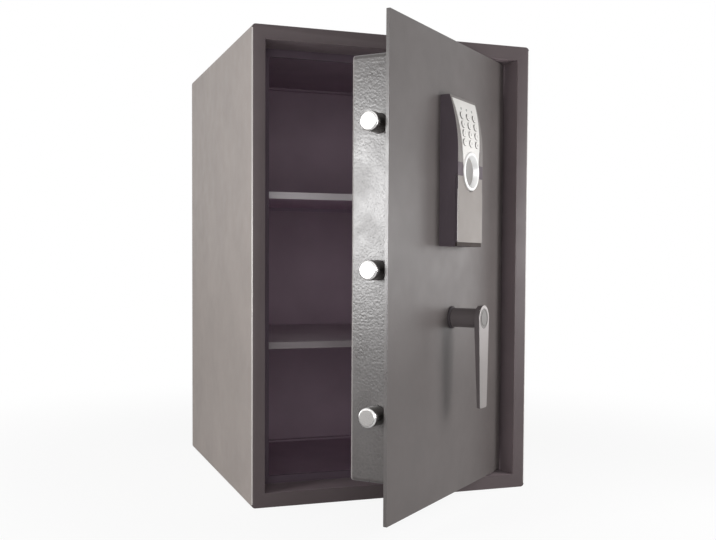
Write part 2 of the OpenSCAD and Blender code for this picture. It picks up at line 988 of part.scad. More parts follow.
// A turned ring on the face plate, whose inside goes on as a cup with a lip for the dish
module finger_ring() {
    seat = unit_out - sink + fascia_t;
    edge = ring_crown / 2;
    lip_top = -dish_depth - dish_t;
    color(chrome)
    on_door()
    translate([0, front - seat, dish_z])
        rotate([90, 0, 0])
            rotate_extrude()
                polygon([
                    [ring_d / 2, 0], [ring_d / 2, ring_crown - edge], [ring_d / 2 - edge, ring_crown],
                    [cup_d / 2 + edge, ring_crown], [cup_d / 2, ring_crown - edge], [cup_d / 2, lip_top],
                    [cup_d / 2 - cup_lip_w, lip_top], [cup_d / 2 - cup_lip_w, lip_top - cup_lip_t],
                    [dish_d / 2, lip_top - cup_lip_t], [dish_d / 2, 0]
                ]);
}

// The concave dish that guides a finger tip, on the lip of the cup
module finger_dish() {
    seat = unit_out - sink + fascia_t;
    color(grey_plastic)
    on_door()
    translate([0, front - seat, dish_z])
        rotate([90, 0, 0])
            difference() {
                translate([0, 0, -dish_depth - dish_t])
                    cylinder(h = dish_t, d = cup_d - 2 * running_fit);
                translate([0, 0, dish_r - dish_depth - dish_hollow])
                    sphere(r = dish_r, $fn = 96);
            }
}

function cell_z(i) = pocket_low + cell_margin + (i + 0.5) * (cell_d + cell_gap);

module battery_cells() {
    half = cell_l / 2;
    tip = cell_tip / 2;
    color([0.2, 0.2, 0.22])
    on_door()
    for (i = [0 : cells - 1]) {
        rod_x(-half + tip, half - tip, -cell_out, cell_z(i), cell_d);
        if (i % 2 == 0)
            rod_x(half - 2 * tip, half + tip, -cell_out, cell_z(i), cell_tip_d);
        else
            rod_x(-half - tip, -half + 2 * tip, -cell_out, cell_z(i), cell_tip_d);
    }
}

// A plate at each end of the bay, with a pressed bump for every cell
module battery_contacts() {
    end = pocket_w / 2;
    color([0.8, 0.78, 0.72])
    on_door()
    for (side = [-1, 1])
        union() {
            block(side > 0 ? end - contact_t : -end, side > 0 ? end : -end + contact_t,
                -cell_out - cell_d / 2, -unit_wall, pocket_low + cell_margin,
                pocket_low + pocket_h - cell_margin);
            for (i = [0 : cells - 1]) {
                faces_tip = (i % 2 == 0) == (side > 0);
                reach = cell_l / 2 + (faces_tip ? cell_tip / 2 : -cell_tip / 2);
                rod_x(side > 0 ? reach : -end, side > 0 ? end : -reach, -cell_out, cell_z(i), bump_d);
            }
        }
}

module unit_screws() {
    color(steel)
    on_door()
    for (p = unit_screw_places()) {
        rod_y(p[0], p[1], -unit_screw_l, plate_t, unit_screw_d - 2 * running_fit);
        rod_y(p[0], p[1], plate_t, plate_t + screw_head_t, screw_head_d);
    }
}

// The cover of the battery bay, hollowed round the ring, with a lower lip, on two T rails
module battery_cover() {
    low = cover_low;
    color(grey_plastic)
    on_door() {
        block(-unit_w / 2 + chin_back, unit_w / 2 - chin_back, -unit_out + chin_back, -cover_out,
            unit_low, low + corner_r);
        difference() {
            behind(-unit_out, -cover_out)
                translate([0, (low + cover_top) / 2])
                    round_rect(unit_w, cover_top - low, corner_r);
            rod_y(0, dish_z, -unit_out - 1, -cover_out + 1, ring_d + 2 * cover_ring_gap);
            for (side = [-1, 1])
                block(side * unit_w / 2 - thumb_in, side * unit_w / 2 + thumb_in, -unit_out - 1,
                    -cover_out + 1, cover_top - thumb_h - thumb_down, cover_top - thumb_down);
        }
        for (side = [-1, 1]) {
            block(side * rail_x - rail_neck / 2, side * rail_x + rail_neck / 2,
                -cover_out, -cover_out + rail_deep, low + rail_end, cover_top - rail_end);
            block(side * rail_x - rail_head / 2, side * rail_x + rail_head / 2,
                -cover_out + rail_deep - rail_head_t, -cover_out + rail_deep,
                low + rail_end, cover_top - rail_end);
        }
    }
}

// A key: an oval cap that follows the curved face, with a lip under the face plate
module keypad_key(row, col) {
    z = key_row_z(row);
    lip_out = face_out(z + key_h / 2 + key_lip) - sink - slip;
    color(silver)
    on_door() {
        intersection() {
            behind(-unit_out - 2, -key_root)
                translate([col * key_pitch_x, z])
                    oval_2d(key_w, key_h);
            across(-unit_w, unit_w)
                side_view(sink - fascia_t - key_proud, unit_low, unit_top);
        }
        behind(-lip_out, -lip_out + key_lip_t)
            translate([col * key_pitch_x, z])
                oval_2d(key_w + 2 * key_lip, key_h + 2 * key_lip);
    }
}

// Bolt work

// A bent sheet: a flange for the bolts, a slotted web and an arm that the crank drives
module bolt_carrier() {
    low = bolt_zs[0] - web_over;
    high = bolt_zs[2] + web_over;
    web_x1 = carrier_x + carrier_t + web_w;
    slot_room = 1;
    color(steel)
    on_door()
    difference() {
        union() {
            block(carrier_x, carrier_x + carrier_t, bolt_axis - bolt_d / 2, carrier_back, low, high);
            block(carrier_x, web_x1, carrier_front, carrier_back, low, high);
            block(web_x1 - eps, arm_right, carrier_front, carrier_back,
                handle_z - arm_low, handle_z + arm_top);
        }
        for (z = bolt_zs)
            rod_x(carrier_x - eps, carrier_x + carrier_t + eps, bolt_axis, z, bolt_stud_d + 2 * running_fit);
        behind(carrier_front - eps, carrier_back + eps) {
            for (z = stud_zs)
                slot_2d(stud_x - bolt_travel, z, stud_x, z, stud_d + 2 * slip);
            slot_2d(crank_pin_x, crank_pin_z - slot_room, crank_pin_x, handle_z + crank_r + slot_room,
                crank_pin_d + 2 * crank_play);
            translate([plunger_x - plunger_d / 2 - slip, plunger_low - plunger_stroke - slot_room / 2])
                square([plunger_d + 2 * slip, plunger_stroke + arm_over]);
            for (z = [(bolt_zs[0] + bolt_zs[1]) / 2, (bolt_zs[1] + bolt_zs[2]) / 2])
                translate([(carrier_x + carrier_t + web_x1) / 2, z])
                    circle(d = web_w / 2);
        }
    }
}

// A round bolt with a chamfered end and a turned stud behind
module locking_bolt(z) {
    tail = carrier_x;
    color(chrome)
    on_door()
    translate([bolt_end, front + bolt_axis, z])
        rotate([0, 90, 0]) {
            rotate_extrude()
                polygon([[0, 0], [bolt_d / 2 - bolt_chamfer, 0], [bolt_d / 2, bolt_chamfer],
                    [bolt_d / 2, tail - bolt_end], [0, tail - bolt_end]]);
            translate([0, 0, tail - bolt_end - eps])
                cylinder(h = carrier_t + nut_t + stud_over + eps, d = bolt_stud_d);
        }
}

module upper_bolt() locking_bolt(bolt_zs[2]);
module middle_bolt() locking_bolt(bolt_zs[1]);
module lower_bolt() locking_bolt(bolt_zs[0]);

module bolt_nuts() {
    x0 = carrier_x + carrier_t;
    color(steel)
    on_door()
    for (z = bolt_zs)
        translate([x0, front + bolt_axis, z])
            rotate([0, 90, 0])
                difference() {
                    cylinder(h = nut_t, d = nut_flats / cos(30), $fn = 6);
                    translate([0, 0, -eps])
                        cylinder(h = nut_t + 2 * eps, d = bolt_stud_d + 2 * running_fit);
                }
}

// Handle

// Side view of the lever: flat in front, thinner towards the foot
module lever_side() {
    polygon([
        [handle_out, handle_z + lever_top_w / 2 + eps], [handle_out, handle_z - lever_len],
        [handle_out - lever_foot_t, handle_z - lever_len],
        [handle_out - lever_top_t, handle_z - neck_d / 2],
        [handle_out - lever_top_t, handle_z + lever_top_w / 2 + eps]
    ]);
}

// Front view of the lever: a round head and sides that draw in towards the foot
module lever_front() {
    foot_r = 2.5;
    foot_z = handle_z - lever_len;
    translate([0, handle_z])
        circle(d = lever_top_w, $fn = 96);
    polygon([
        [-lever_top_w / 2, handle_z], [lever_top_w / 2, handle_z],
        [lever_foot_w / 2, foot_z + foot_r], [lever_foot_w / 2 - foot_r, foot_z],
        [-lever_foot_w / 2 + foot_r, foot_z], [-lever_foot_w / 2, foot_z + foot_r]
    ]);
    for (side = [-1, 1])
        translate([side * (lever_foot_w / 2 - foot_r), foot_z + foot_r])
            circle(r = foot_r);
}

module handle_lever() {
    color(grey_plastic)
    on_door()
    difference() {
        union() {
            rod_y(0, handle_z, -handle_out + lever_top_t / 2, -neck_root, neck_d);
            intersection() {
                across(-lever_top_w, lever_top_w)
                    lever_side();
                behind(-handle_out - 1, 0)
                    lever_front();
            }
        }
        rod_y(0, handle_z, -spindle_in_neck, eps, spindle_d + 2 * running_fit);
        rod_y(0, handle_z, -handle_out - 1, -handle_out + head_recess, cap_d + 2 * running_fit);
    }
}

// The round inlay in the head of the handle, with a turned groove
module handle_cap() {
    groove = 0.5;
    land = 1.8;
    proud = 0.2;
    cap_t = head_recess + proud;
    color(chrome)
    on_door()
    translate([0, front - handle_out + head_recess, handle_z])
        rotate([90, 0, 0])
            difference() {
                cylinder(h = cap_t, d = cap_d);
                translate([0, 0, cap_t - groove])
                    difference() {
                        cylinder(h = groove + eps, d = cap_d - 2 * land);
                        translate([0, 0, -eps])
                            cylinder(h = groove + 3 * eps, d = cap_d - 4 * land);
                    }
            }
}

module spindle() {
    groove_front = crank_back + running_fit;
    end = crank_back + clip_t + 2 * clip_groove;
    color(steel)
    on_door()
    difference() {
        rod_y(0, handle_z, -spindle_in_neck, end, spindle_d);
        difference() {
            rod_y(0, handle_z, groove_front, groove_front + clip_t + 2 * running_fit, spindle_d + 1);
            rod_y(0, handle_z, groove_front - eps, groove_front + clip_t + eps, spindle_d - 2 * clip_groove);
        }
    }
}

// A crank disc with a long hub, and a pin that stands in the carrier's slot
module drive_crank() {
    hub_d = spindle_d + 2 * crank_t;
    disc_d = 2 * crank_r + 2 * crank_pin_d - 2;
    color(steel)
    on_door()
    difference() {
        union() {
            rod_y(0, handle_z, spindle_bush_back + slip, crank_front, hub_d);
            rod_y(0, handle_z, crank_front, crank_back, disc_d);
            rod_y(crank_pin_x, crank_pin_z, crank_front, carrier_back + pin_over, crank_pin_d);
        }
        rod_y(0, handle_z, spindle_bush_back, crank_back + eps, spindle_d + 2 * running_fit);
    }
}

module crank_clip() {
    d0 = crank_back + 2 * running_fit;
    neck = spindle_d - 2 * clip_groove;
    color(steel)
    on_door()
    difference() {
        rod_y(0, handle_z, d0, d0 + clip_t, spindle_d + 2 * clip_w);
        rod_y(0, handle_z, d0 - eps, d0 + clip_t + eps, neck + 2 * running_fit);
        behind(d0 - eps, d0 + clip_t + eps)
            translate([-neck / 2, handle_z - spindle_d])
                square([neck, spindle_d]);
    }
}

// Solenoid plunger and spring

module solenoid_plunger() {
    color(steel)
    on_door()
    translate([plunger_x, front + plunger_y, plunger_low]) {
        cylinder(h = plunger_l, d = plunger_d);
        translate([0, 0, collar_up])
            cylinder(h = collar_t, d = collar_d);
    }
}

// Points of one turned section of a round wire, and its helix
function ring_point(a, k) = [
    (spring_r + spring_wire / 2 * cos(60 * k)) * cos(a),
    (spring_r + spring_wire / 2 * cos(60 * k)) * sin(a),
    spring_wire / 2 * sin(60 * k)
];

module helix(height) {
    steps = spring_turns * 14;
    rise = height - spring_wire;
    points = [for (i = [0 : steps], k = [0 : 5])
        ring_point(360 * spring_turns * i / steps, k) + [0, 0, spring_wire / 2 + rise * i / steps]];
    sides = [for (i = [0 : steps - 1], k = [0 : 5])
        let (a = 6 * i + k, b = 6 * i + (k + 1) % 6)
        each [[a, a + 6, b], [b, a + 6, b + 6]]];
    first = [for (k = [1 : 4]) [0, k, k + 1]];
    last = [for (k = [1 : 4]) [6 * steps, 6 * steps + k + 1, 6 * steps + k]];
    polyhedron(points = points, faces = concat(sides, first, last), convexity = 6);
}

module plunger_spring() {
    low = plunger_low + collar_up + collar_t + running_fit;
    color(steel)
    on_door()
    translate([plunger_x, front + plunger_y, low])
        helix(coil_low - low - running_fit);
}

cabinet_shell();
back_panel();
front_frame();
upper_shelf();
lower_shelf();
shelf_brackets();
hinge_pins();
door_plate();
lock_box();
rear_cover();
cover_screws();
hinge_blocks();
hinge_bushes();
bolt_guides();
carrier_studs();
stud_clips();
spindle_bush();
handle_rose();
solenoid();
control_board();
board_standoffs();
keypad_housing();
keypad_fascia();
keypad_board();
status_lights();
finger_ring();
finger_dish();
battery_cells();
battery_contacts();
unit_screws();
battery_cover();
bolt_carrier();
upper_bolt();
middle_bolt();
lower_bolt();
bolt_nuts();
handle_lever();
handle_cap();
spindle();
drive_crank();
crank_clip();
solenoid_plunger();
plunger_spring();
keypad_key(0, -1);  // key_1
keypad_key(0, 0);  // key_2
keypad_key(0, 1);  // key_3
keypad_key(1, -1);  // key_4
keypad_key(1, 0);  // key_5
keypad_key(1, 1);  // key_6
keypad_key(2, -1);  // key_7
keypad_key(2, 0);  // key_8
keypad_key(2, 1);  // key_9
keypad_key(3, -1);  // key_left
keypad_key(3, 0);  // key_0
keypad_key(3, 1);  // key_right
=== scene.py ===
"""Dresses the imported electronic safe: finishes, worked edges, keypad details, studio and camera.

Sizes in the classes are millimetres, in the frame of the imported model: the origin lies under the
middle of the cabinet, Z points up and the front faces -Y. Pieces of the door are modelled where
they are when it is shut, and then swung about the hinge axis to where the open door holds them.
"""

import json
import logging
import math
from collections.abc import Callable, Iterable
from dataclasses import dataclass
from enum import Enum

import bpy
from mathutils import Matrix, Vector

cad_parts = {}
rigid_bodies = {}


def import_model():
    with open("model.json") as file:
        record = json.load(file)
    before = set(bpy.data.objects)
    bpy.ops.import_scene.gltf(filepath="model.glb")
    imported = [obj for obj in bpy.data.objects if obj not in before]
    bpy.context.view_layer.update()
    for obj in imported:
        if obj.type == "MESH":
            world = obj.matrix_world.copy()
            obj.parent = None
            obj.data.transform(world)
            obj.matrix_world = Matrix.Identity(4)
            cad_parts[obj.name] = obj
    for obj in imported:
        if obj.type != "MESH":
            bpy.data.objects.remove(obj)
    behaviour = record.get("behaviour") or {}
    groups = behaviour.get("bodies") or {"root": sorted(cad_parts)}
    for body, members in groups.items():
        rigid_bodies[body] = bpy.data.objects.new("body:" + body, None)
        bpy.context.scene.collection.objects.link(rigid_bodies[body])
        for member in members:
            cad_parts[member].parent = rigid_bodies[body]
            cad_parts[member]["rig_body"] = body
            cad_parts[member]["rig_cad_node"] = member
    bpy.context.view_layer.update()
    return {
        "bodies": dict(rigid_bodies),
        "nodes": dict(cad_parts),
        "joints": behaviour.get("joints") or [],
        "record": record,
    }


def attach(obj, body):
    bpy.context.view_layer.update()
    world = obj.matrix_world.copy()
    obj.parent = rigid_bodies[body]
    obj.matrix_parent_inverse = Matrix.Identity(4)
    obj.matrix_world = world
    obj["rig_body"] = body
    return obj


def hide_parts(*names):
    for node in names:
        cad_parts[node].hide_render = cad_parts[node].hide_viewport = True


LOG = logging.getLogger("safe")
MM = 0.001
OPEN_ANGLE = 41.5  # degrees by which the door stands open at rest
STRAIGHT = 0.9  # share of a normal along a direction, above which its face looks that way
LEANING = 0.5  # the same, for a face that looks more that way than any other
WHITE = (1.0, 1.0, 1.0)

Colour = tuple[float, float, float]
Point = tuple[float, float, float]
Socket = bpy.types.NodeSocket
Piece = bpy.types.Object
FaceTest = Callable[[Vector, Vector], bool]


class Body(str, Enum):
    """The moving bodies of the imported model, apart from the keys."""

    CABINET = "cabinet"
    DOOR = "door"
    BOLTS = "bolt_work"
    HANDLE = "handle"
    PLUNGER = "plunger"
    COVER = "battery_cover"


class Slot(str, Enum):
    """The material slots of the record."""

    CABINET = "cabinet_paint"
    FRAME = "frame_paint"
    DOOR = "door_paint"
    SHELF = "shelf_paint"
    HAMMER = "hammer_paint"
    ZINC = "zinc_steel"
    BRASS = "bush_brass"
    BOLT = "bolt_chrome"
    RING = "bright_ring"
    HANDLE = "handle_satin"
    DARK = "dark_plastic"
    GREY = "grey_plastic"
    COVER = "cover_plastic"
    SILVER = "silver_plastic"
    LENS = "light_lens"
    BOARD = "circuit_board"
    CELL = "cell_jacket"


class Axis(Enum):
    """Directions in which a finish is brushed, as how its pattern is stretched."""

    NONE = (1.0, 1.0, 1.0)
    ALONG_X = (0.02, 1.0, 1.0)


class Mixer:
    """The node tree of a material or of the world."""

    def __init__(self, owner: bpy.types.Material | bpy.types.World) -> None:
        """Empties the tree of its owner.

        Args:
            owner: the material or the world.
        """
        owner.use_nodes = True
        self.tree = owner.node_tree
        self.tree.nodes.clear()
        self.coords = self.node("TexCoord").outputs["Object"]

    def node(
        self, kind: str, feeds: dict[str | int, object] | None = None, **settings: str
    ) -> bpy.types.Node:
        """Adds a node.

        Args:
            kind: the node's type, without its prefix.
            feeds: what each input gets, by its name or number: a socket or a value.
            settings: attributes to set on the node.

        Returns:
            The new node.
        """
        made = self.tree.nodes.new(f"ShaderNode{kind}")
        for key, value in settings.items():
            setattr(made, key, value)
        for key, value in (feeds or {}).items():
            target = made.inputs[key]
            if isinstance(value, Socket):
                self.tree.links.new(value, target)
            else:
                target.default_value = (*value, 1.0) if target.type == "RGBA" else value
        return made

    def placed(self, scale: Point = Axis.NONE.value, turn: float = 0.0) -> Socket:
        """Object coordinates, turned about Z and then scaled.

        Args:
            scale: stretch of the pattern on each axis.
            turn: angle about Z in degrees.

        Returns:
            The mapped vector.
        """
        angles = (0.0, 0.0, math.radians(turn))
        turned = self.node("Mapping", {"Vector": self.coords, "Rotation": angles}).outputs[0]
        return self.node("Mapping", {"Vector": turned, "Scale": scale}).outputs[0]

    def noise(
        self, scale: float, detail: float = 2.0, rough: float = 0.5, vector: Socket | None = None
    ) -> Socket:
        """A noise value, 0.5 on average, with that many features per metre."""
        feeds = {"Scale": scale, "Detail": detail, "Roughness": rough}
        return self.node("TexNoise", feeds | {"Vector": vector or self.coords}).outputs[0]

    def cells(self, scale: float, feature: str, vector: Socket | None = None) -> bpy.types.Node:
        """A Voronoi node of that scale and feature."""
        feeds = {"Scale": scale, "Vector": vector or self.coords}
        return self.node("TexVoronoi", feeds, feature=feature)

    def span(
        self, value: Socket, low: float, high: float, start: float = 0.3, end: float = 0.7,
        **settings: str,
    ) -> Socket:
        """Maps a value from start..end to low..high."""
        feeds = {"Value": value, "From Min": start, "From Max": end, "To Min": low, "To Max": high}
        return self.node("MapRange", feeds, **settings).outputs["Result"]

    def math(self, operation: str, first: Socket | float, second: Socket | float) -> Socket:
        """What a Math node makes of two values."""
        return self.node("Math", {0: first, 1: second}, operation=operation).outputs["Value"]

    def blend(self, share: Socket, first: Colour, second: Colour) -> Socket:
        """Mixes two colours by share."""
        return self.node("Mix", {0: share, 6: first, 7: second}, data_type="RGBA").outputs[2]

    def bump(
        self, height: Socket, depth: float, strength: float, under: Socket | None = None
    ) -> Socket:
        """The normal of a height of 0 to 1, of that depth in metres, laid over another normal."""
        feeds = {"Height": height, "Distance": depth, "Strength": strength}
        return self.node("Bump", feeds | ({"Normal": under} if under else {})).outputs["Normal"]

    def share(self, share: Socket, first: bpy.types.Node, second: bpy.types.Node) -> Socket:
        """Mixes two shaders by share."""
        feeds = {0: share, 1: first.outputs[0], 2: second.outputs[0]}
        return self.node("MixShader", feeds).outputs[0]


@dataclass(frozen=True)
class Waves:
    """Noise as relief: its features per metre, its depth in metres and how strongly it shows."""

    scale: float
    depth: float
    strength: float
    detail: float = 2.0
    rough: float = 0.5

    def over(self, mixer: Mixer, under: Socket | None = None) -> Socket:
        """The normal of these waves, laid over another normal."""
        height = mixer.noise(self.scale, self.detail, self.rough)
        return mixer.bump(height, self.depth, self.strength, under)


def shade(colour: Colour, factor: float) -> Colour:
    """A colour made lighter or darker by a factor, kept at 1 or below."""
    return tuple(min(1.0, c * factor) for c in colour)


@dataclass(frozen=True)
class Finish:
    """A finish: its colour, gloss and the fine relief of its surface."""

    label: str
    slot: Slot
    colour: Colour
    rough: float
    metal: float = 0.0
    shift: float = 0.06
    patch: float = 14.0
    rough_patch: float = 42.0
    rough_shift: float = 0.04
    drift_detail: float = 3.0
    gloss: float = 0.5
    coat: float = 0.0
    coat_rough: float = 0.15

    def material(self) -> bpy.types.Material:
        """The material, mixed once and then shared.

        Returns:
            The Blender material of this finish.
        """
        name = f"dressed_{self.label}"
        known = bpy.data.materials.get(name)
        if known is not None:
            return known
        made = bpy.data.materials.new(name)
        mixer = Mixer(made)
        feeds = {"Metallic": self.metal, "Specular IOR Level": self.gloss}
        if self.coat:
            feeds |= {"Coat Weight": self.coat, "Coat Roughness": self.coat_rough}
        feeds |= {"Base Color": self.tint(mixer), "Roughness": self.sheen(mixer)}
        normal = self.relief(mixer)
        if normal is not None:
            feeds["Normal"] = normal
        shader = mixer.node("BsdfPrincipled", feeds)
        mixer.node("OutputMaterial", {"Surface": shader.outputs["BSDF"]})
        made.diffuse_color = (*self.colour, 1.0)
        return made

    def tones(self, mixer: Mixer, share: Socket, first: float, second: float) -> Socket:
        """The finish's colour between two factors of its brightness, by share."""
        return mixer.blend(share, shade(self.colour, first), shade(self.colour, second))

    def tint(self, mixer: Mixer) -> Socket:
        """The colour, with a slight drift from place to place."""
        drift = mixer.span(mixer.noise(self.patch, self.drift_detail), 0.0, 1.0)
        return self.tones(mixer, drift, 1 - self.shift, 1 + self.shift)

    def sheen(self, mixer: Mixer) -> Socket:
        """The roughness, with a slight drift from place to place."""
        drift = mixer.noise(self.rough_patch, self.drift_detail)
        return mixer.span(drift, self.rough - self.rough_shift, self.rough + self.rough_shift)

    def relief(self, mixer: Mixer) -> Socket | None:
        """The surface's normal, or None where it is plain."""
        return None


@dataclass(frozen=True)
class PowderCoat(Finish):
    """Baked powder paint, with the fine waves of its flow."""

    peel: Waves = Waves(520.0, 0.00006, strength=0.55, detail=1.5, rough=0.4)
    grain: Waves = Waves(2600.0, 0.000015, strength=0.4, detail=1.0)

    def relief(self, mixer: Mixer) -> Socket:
        """Orange peel, with a finer grain on it."""
        return self.grain.over(mixer, self.peel.over(mixer))


@dataclass(frozen=True)
class HammerCoat(Finish):
    """Hammered paint: shallow pits with bright rims between them."""

    pits: float = 390.0
    pit_depth: float = 0.0003
    pit_from: float = 0.15
    pit_to: float = 0.62
    pit_shade: float = 0.62
    wander: float = 0.0012
    wander_scale: float = 0.7
    patch_scale: float = 0.5
    patch_low: float = 0.43
    patch_high: float = 0.57
    flow: Waves = Waves(1600.0, 0.00004, strength=0.4, detail=1.0)

    def tint(self, mixer: Mixer) -> Socket:
        """Darker in the pits than on the rims."""
        pit = mixer.span(self.pit(mixer), 0.0, 1.0, self.pit_from, self.pit_to)
        return self.tones(mixer, pit, 1.0, self.pit_shade)

    def pit(self, mixer: Mixer) -> Socket:
        """How near a place is to the middle of a pit, of uneven size.

        Args:
            mixer: the material's tree.

        Returns:
            The nearness, 0 to 1.
        """
        scale = self.pits * self.wander_scale
        drift = mixer.node("TexNoise", {"Scale": scale, "Vector": mixer.coords})
        feeds = {0: drift.outputs["Color"], 1: (self.wander,) * 3, 2: mixer.coords}
        moved = mixer.node("VectorMath", feeds, operation="MULTIPLY_ADD").outputs["Vector"]
        far = mixer.cells(self.pits, "SMOOTH_F1", moved).outputs["Distance"]
        patches = mixer.noise(self.pits * self.patch_scale)
        patches = mixer.span(patches, self.patch_low, self.patch_high)
        return mixer.math("MULTIPLY", mixer.math("SUBTRACT", 1.0, far), patches)

    def relief(self, mixer: Mixer) -> Socket:
        """Pits, with the fine flow of the paint over them."""
        height = mixer.math("SUBTRACT", 1.0, self.pit(mixer))
        return self.flow.over(mixer, mixer.bump(height, self.pit_depth, strength=0.9))


@dataclass(frozen=True)
class MouldedPlastic(Finish):
    """Moulded plastic with the etched grain of its tool."""

    wall: Waves = Waves(60.0, 0.0002, strength=0.12, detail=1.0)
    grain: Waves = Waves(2400.0, 0.00003, strength=0.5, rough=0.6)

    def relief(self, mixer: Mixer) -> Socket:
        """Etched grain over a faint unevenness of the wall."""
        return self.grain.over(mixer, self.wall.over(mixer))


@dataclass(frozen=True)
class BrushedMetal(Finish):
    """Bare or plated metal, brushed or drawn along one axis of the door."""

    brush: Axis = Axis.NONE
    lines: float = 1800.0
    depth: float = 0.00002
    turn: float = 0.0
    least_rough: float = 0.03

    def strokes(self, mixer: Mixer) -> Socket:
        """The pattern of the strokes."""
        place = mixer.placed(self.brush.value, -self.turn)
        return mixer.noise(self.lines, detail=3.0, rough=0.6, vector=place)

    def sheen(self, mixer: Mixer) -> Socket:
        """Roughness that follows the strokes."""
        low = max(self.least_rough, self.rough - self.rough_shift)
        return mixer.span(self.strokes(mixer), low, self.rough + self.rough_shift)

    def relief(self, mixer: Mixer) -> Socket:
        """The strokes' relief."""
        return mixer.bump(self.strokes(mixer), self.depth, strength=0.5)


@dataclass(frozen=True)
class ZincPlate(Finish):
    """Galvanised or zinc plated sheet with faint crystals."""

    crystals: float = 130.0
    darkest: float = 0.86
    lightest: float = 1.08
    rolled: Waves = Waves(900.0, 0.00003, strength=0.4, detail=3.0)

    def tint(self, mixer: Mixer) -> Socket:
        """Each crystal a little lighter or darker.

        Args:
            mixer: the material's tree.

        Returns:
            The colour.
        """
        crystal = mixer.cells(self.crystals, "F1").outputs["Color"]
        grey = mixer.node("RGBToBW", {"Color": crystal}).outputs["Val"]
        return self.tones(mixer, grey, self.darkest, self.lightest)

    def relief(self, mixer: Mixer) -> Socket:
        """Fine rolled grain."""
        return self.rolled.over(mixer)


@dataclass(frozen=True)
class BoardLacquer(Finish):
    """Circuit board: lacquer over copper tracks."""

    tracks: float = 160.0
    track: float = 0.05
    paler: float = 1.7

    def tint(self, mixer: Mixer) -> Socket:
        """Paler where a track runs under the lacquer.

        Args:
            mixer: the material's tree.

        Returns:
            The colour.
        """
        feeds = {"Scale": self.tracks, "Mortar Size": self.track}
        feeds["Vector"] = mixer.placed(turn=-OPEN_ANGLE)
        return self.tones(mixer, mixer.node("TexBrick", feeds).outputs["Fac"], 1.0, self.paler)


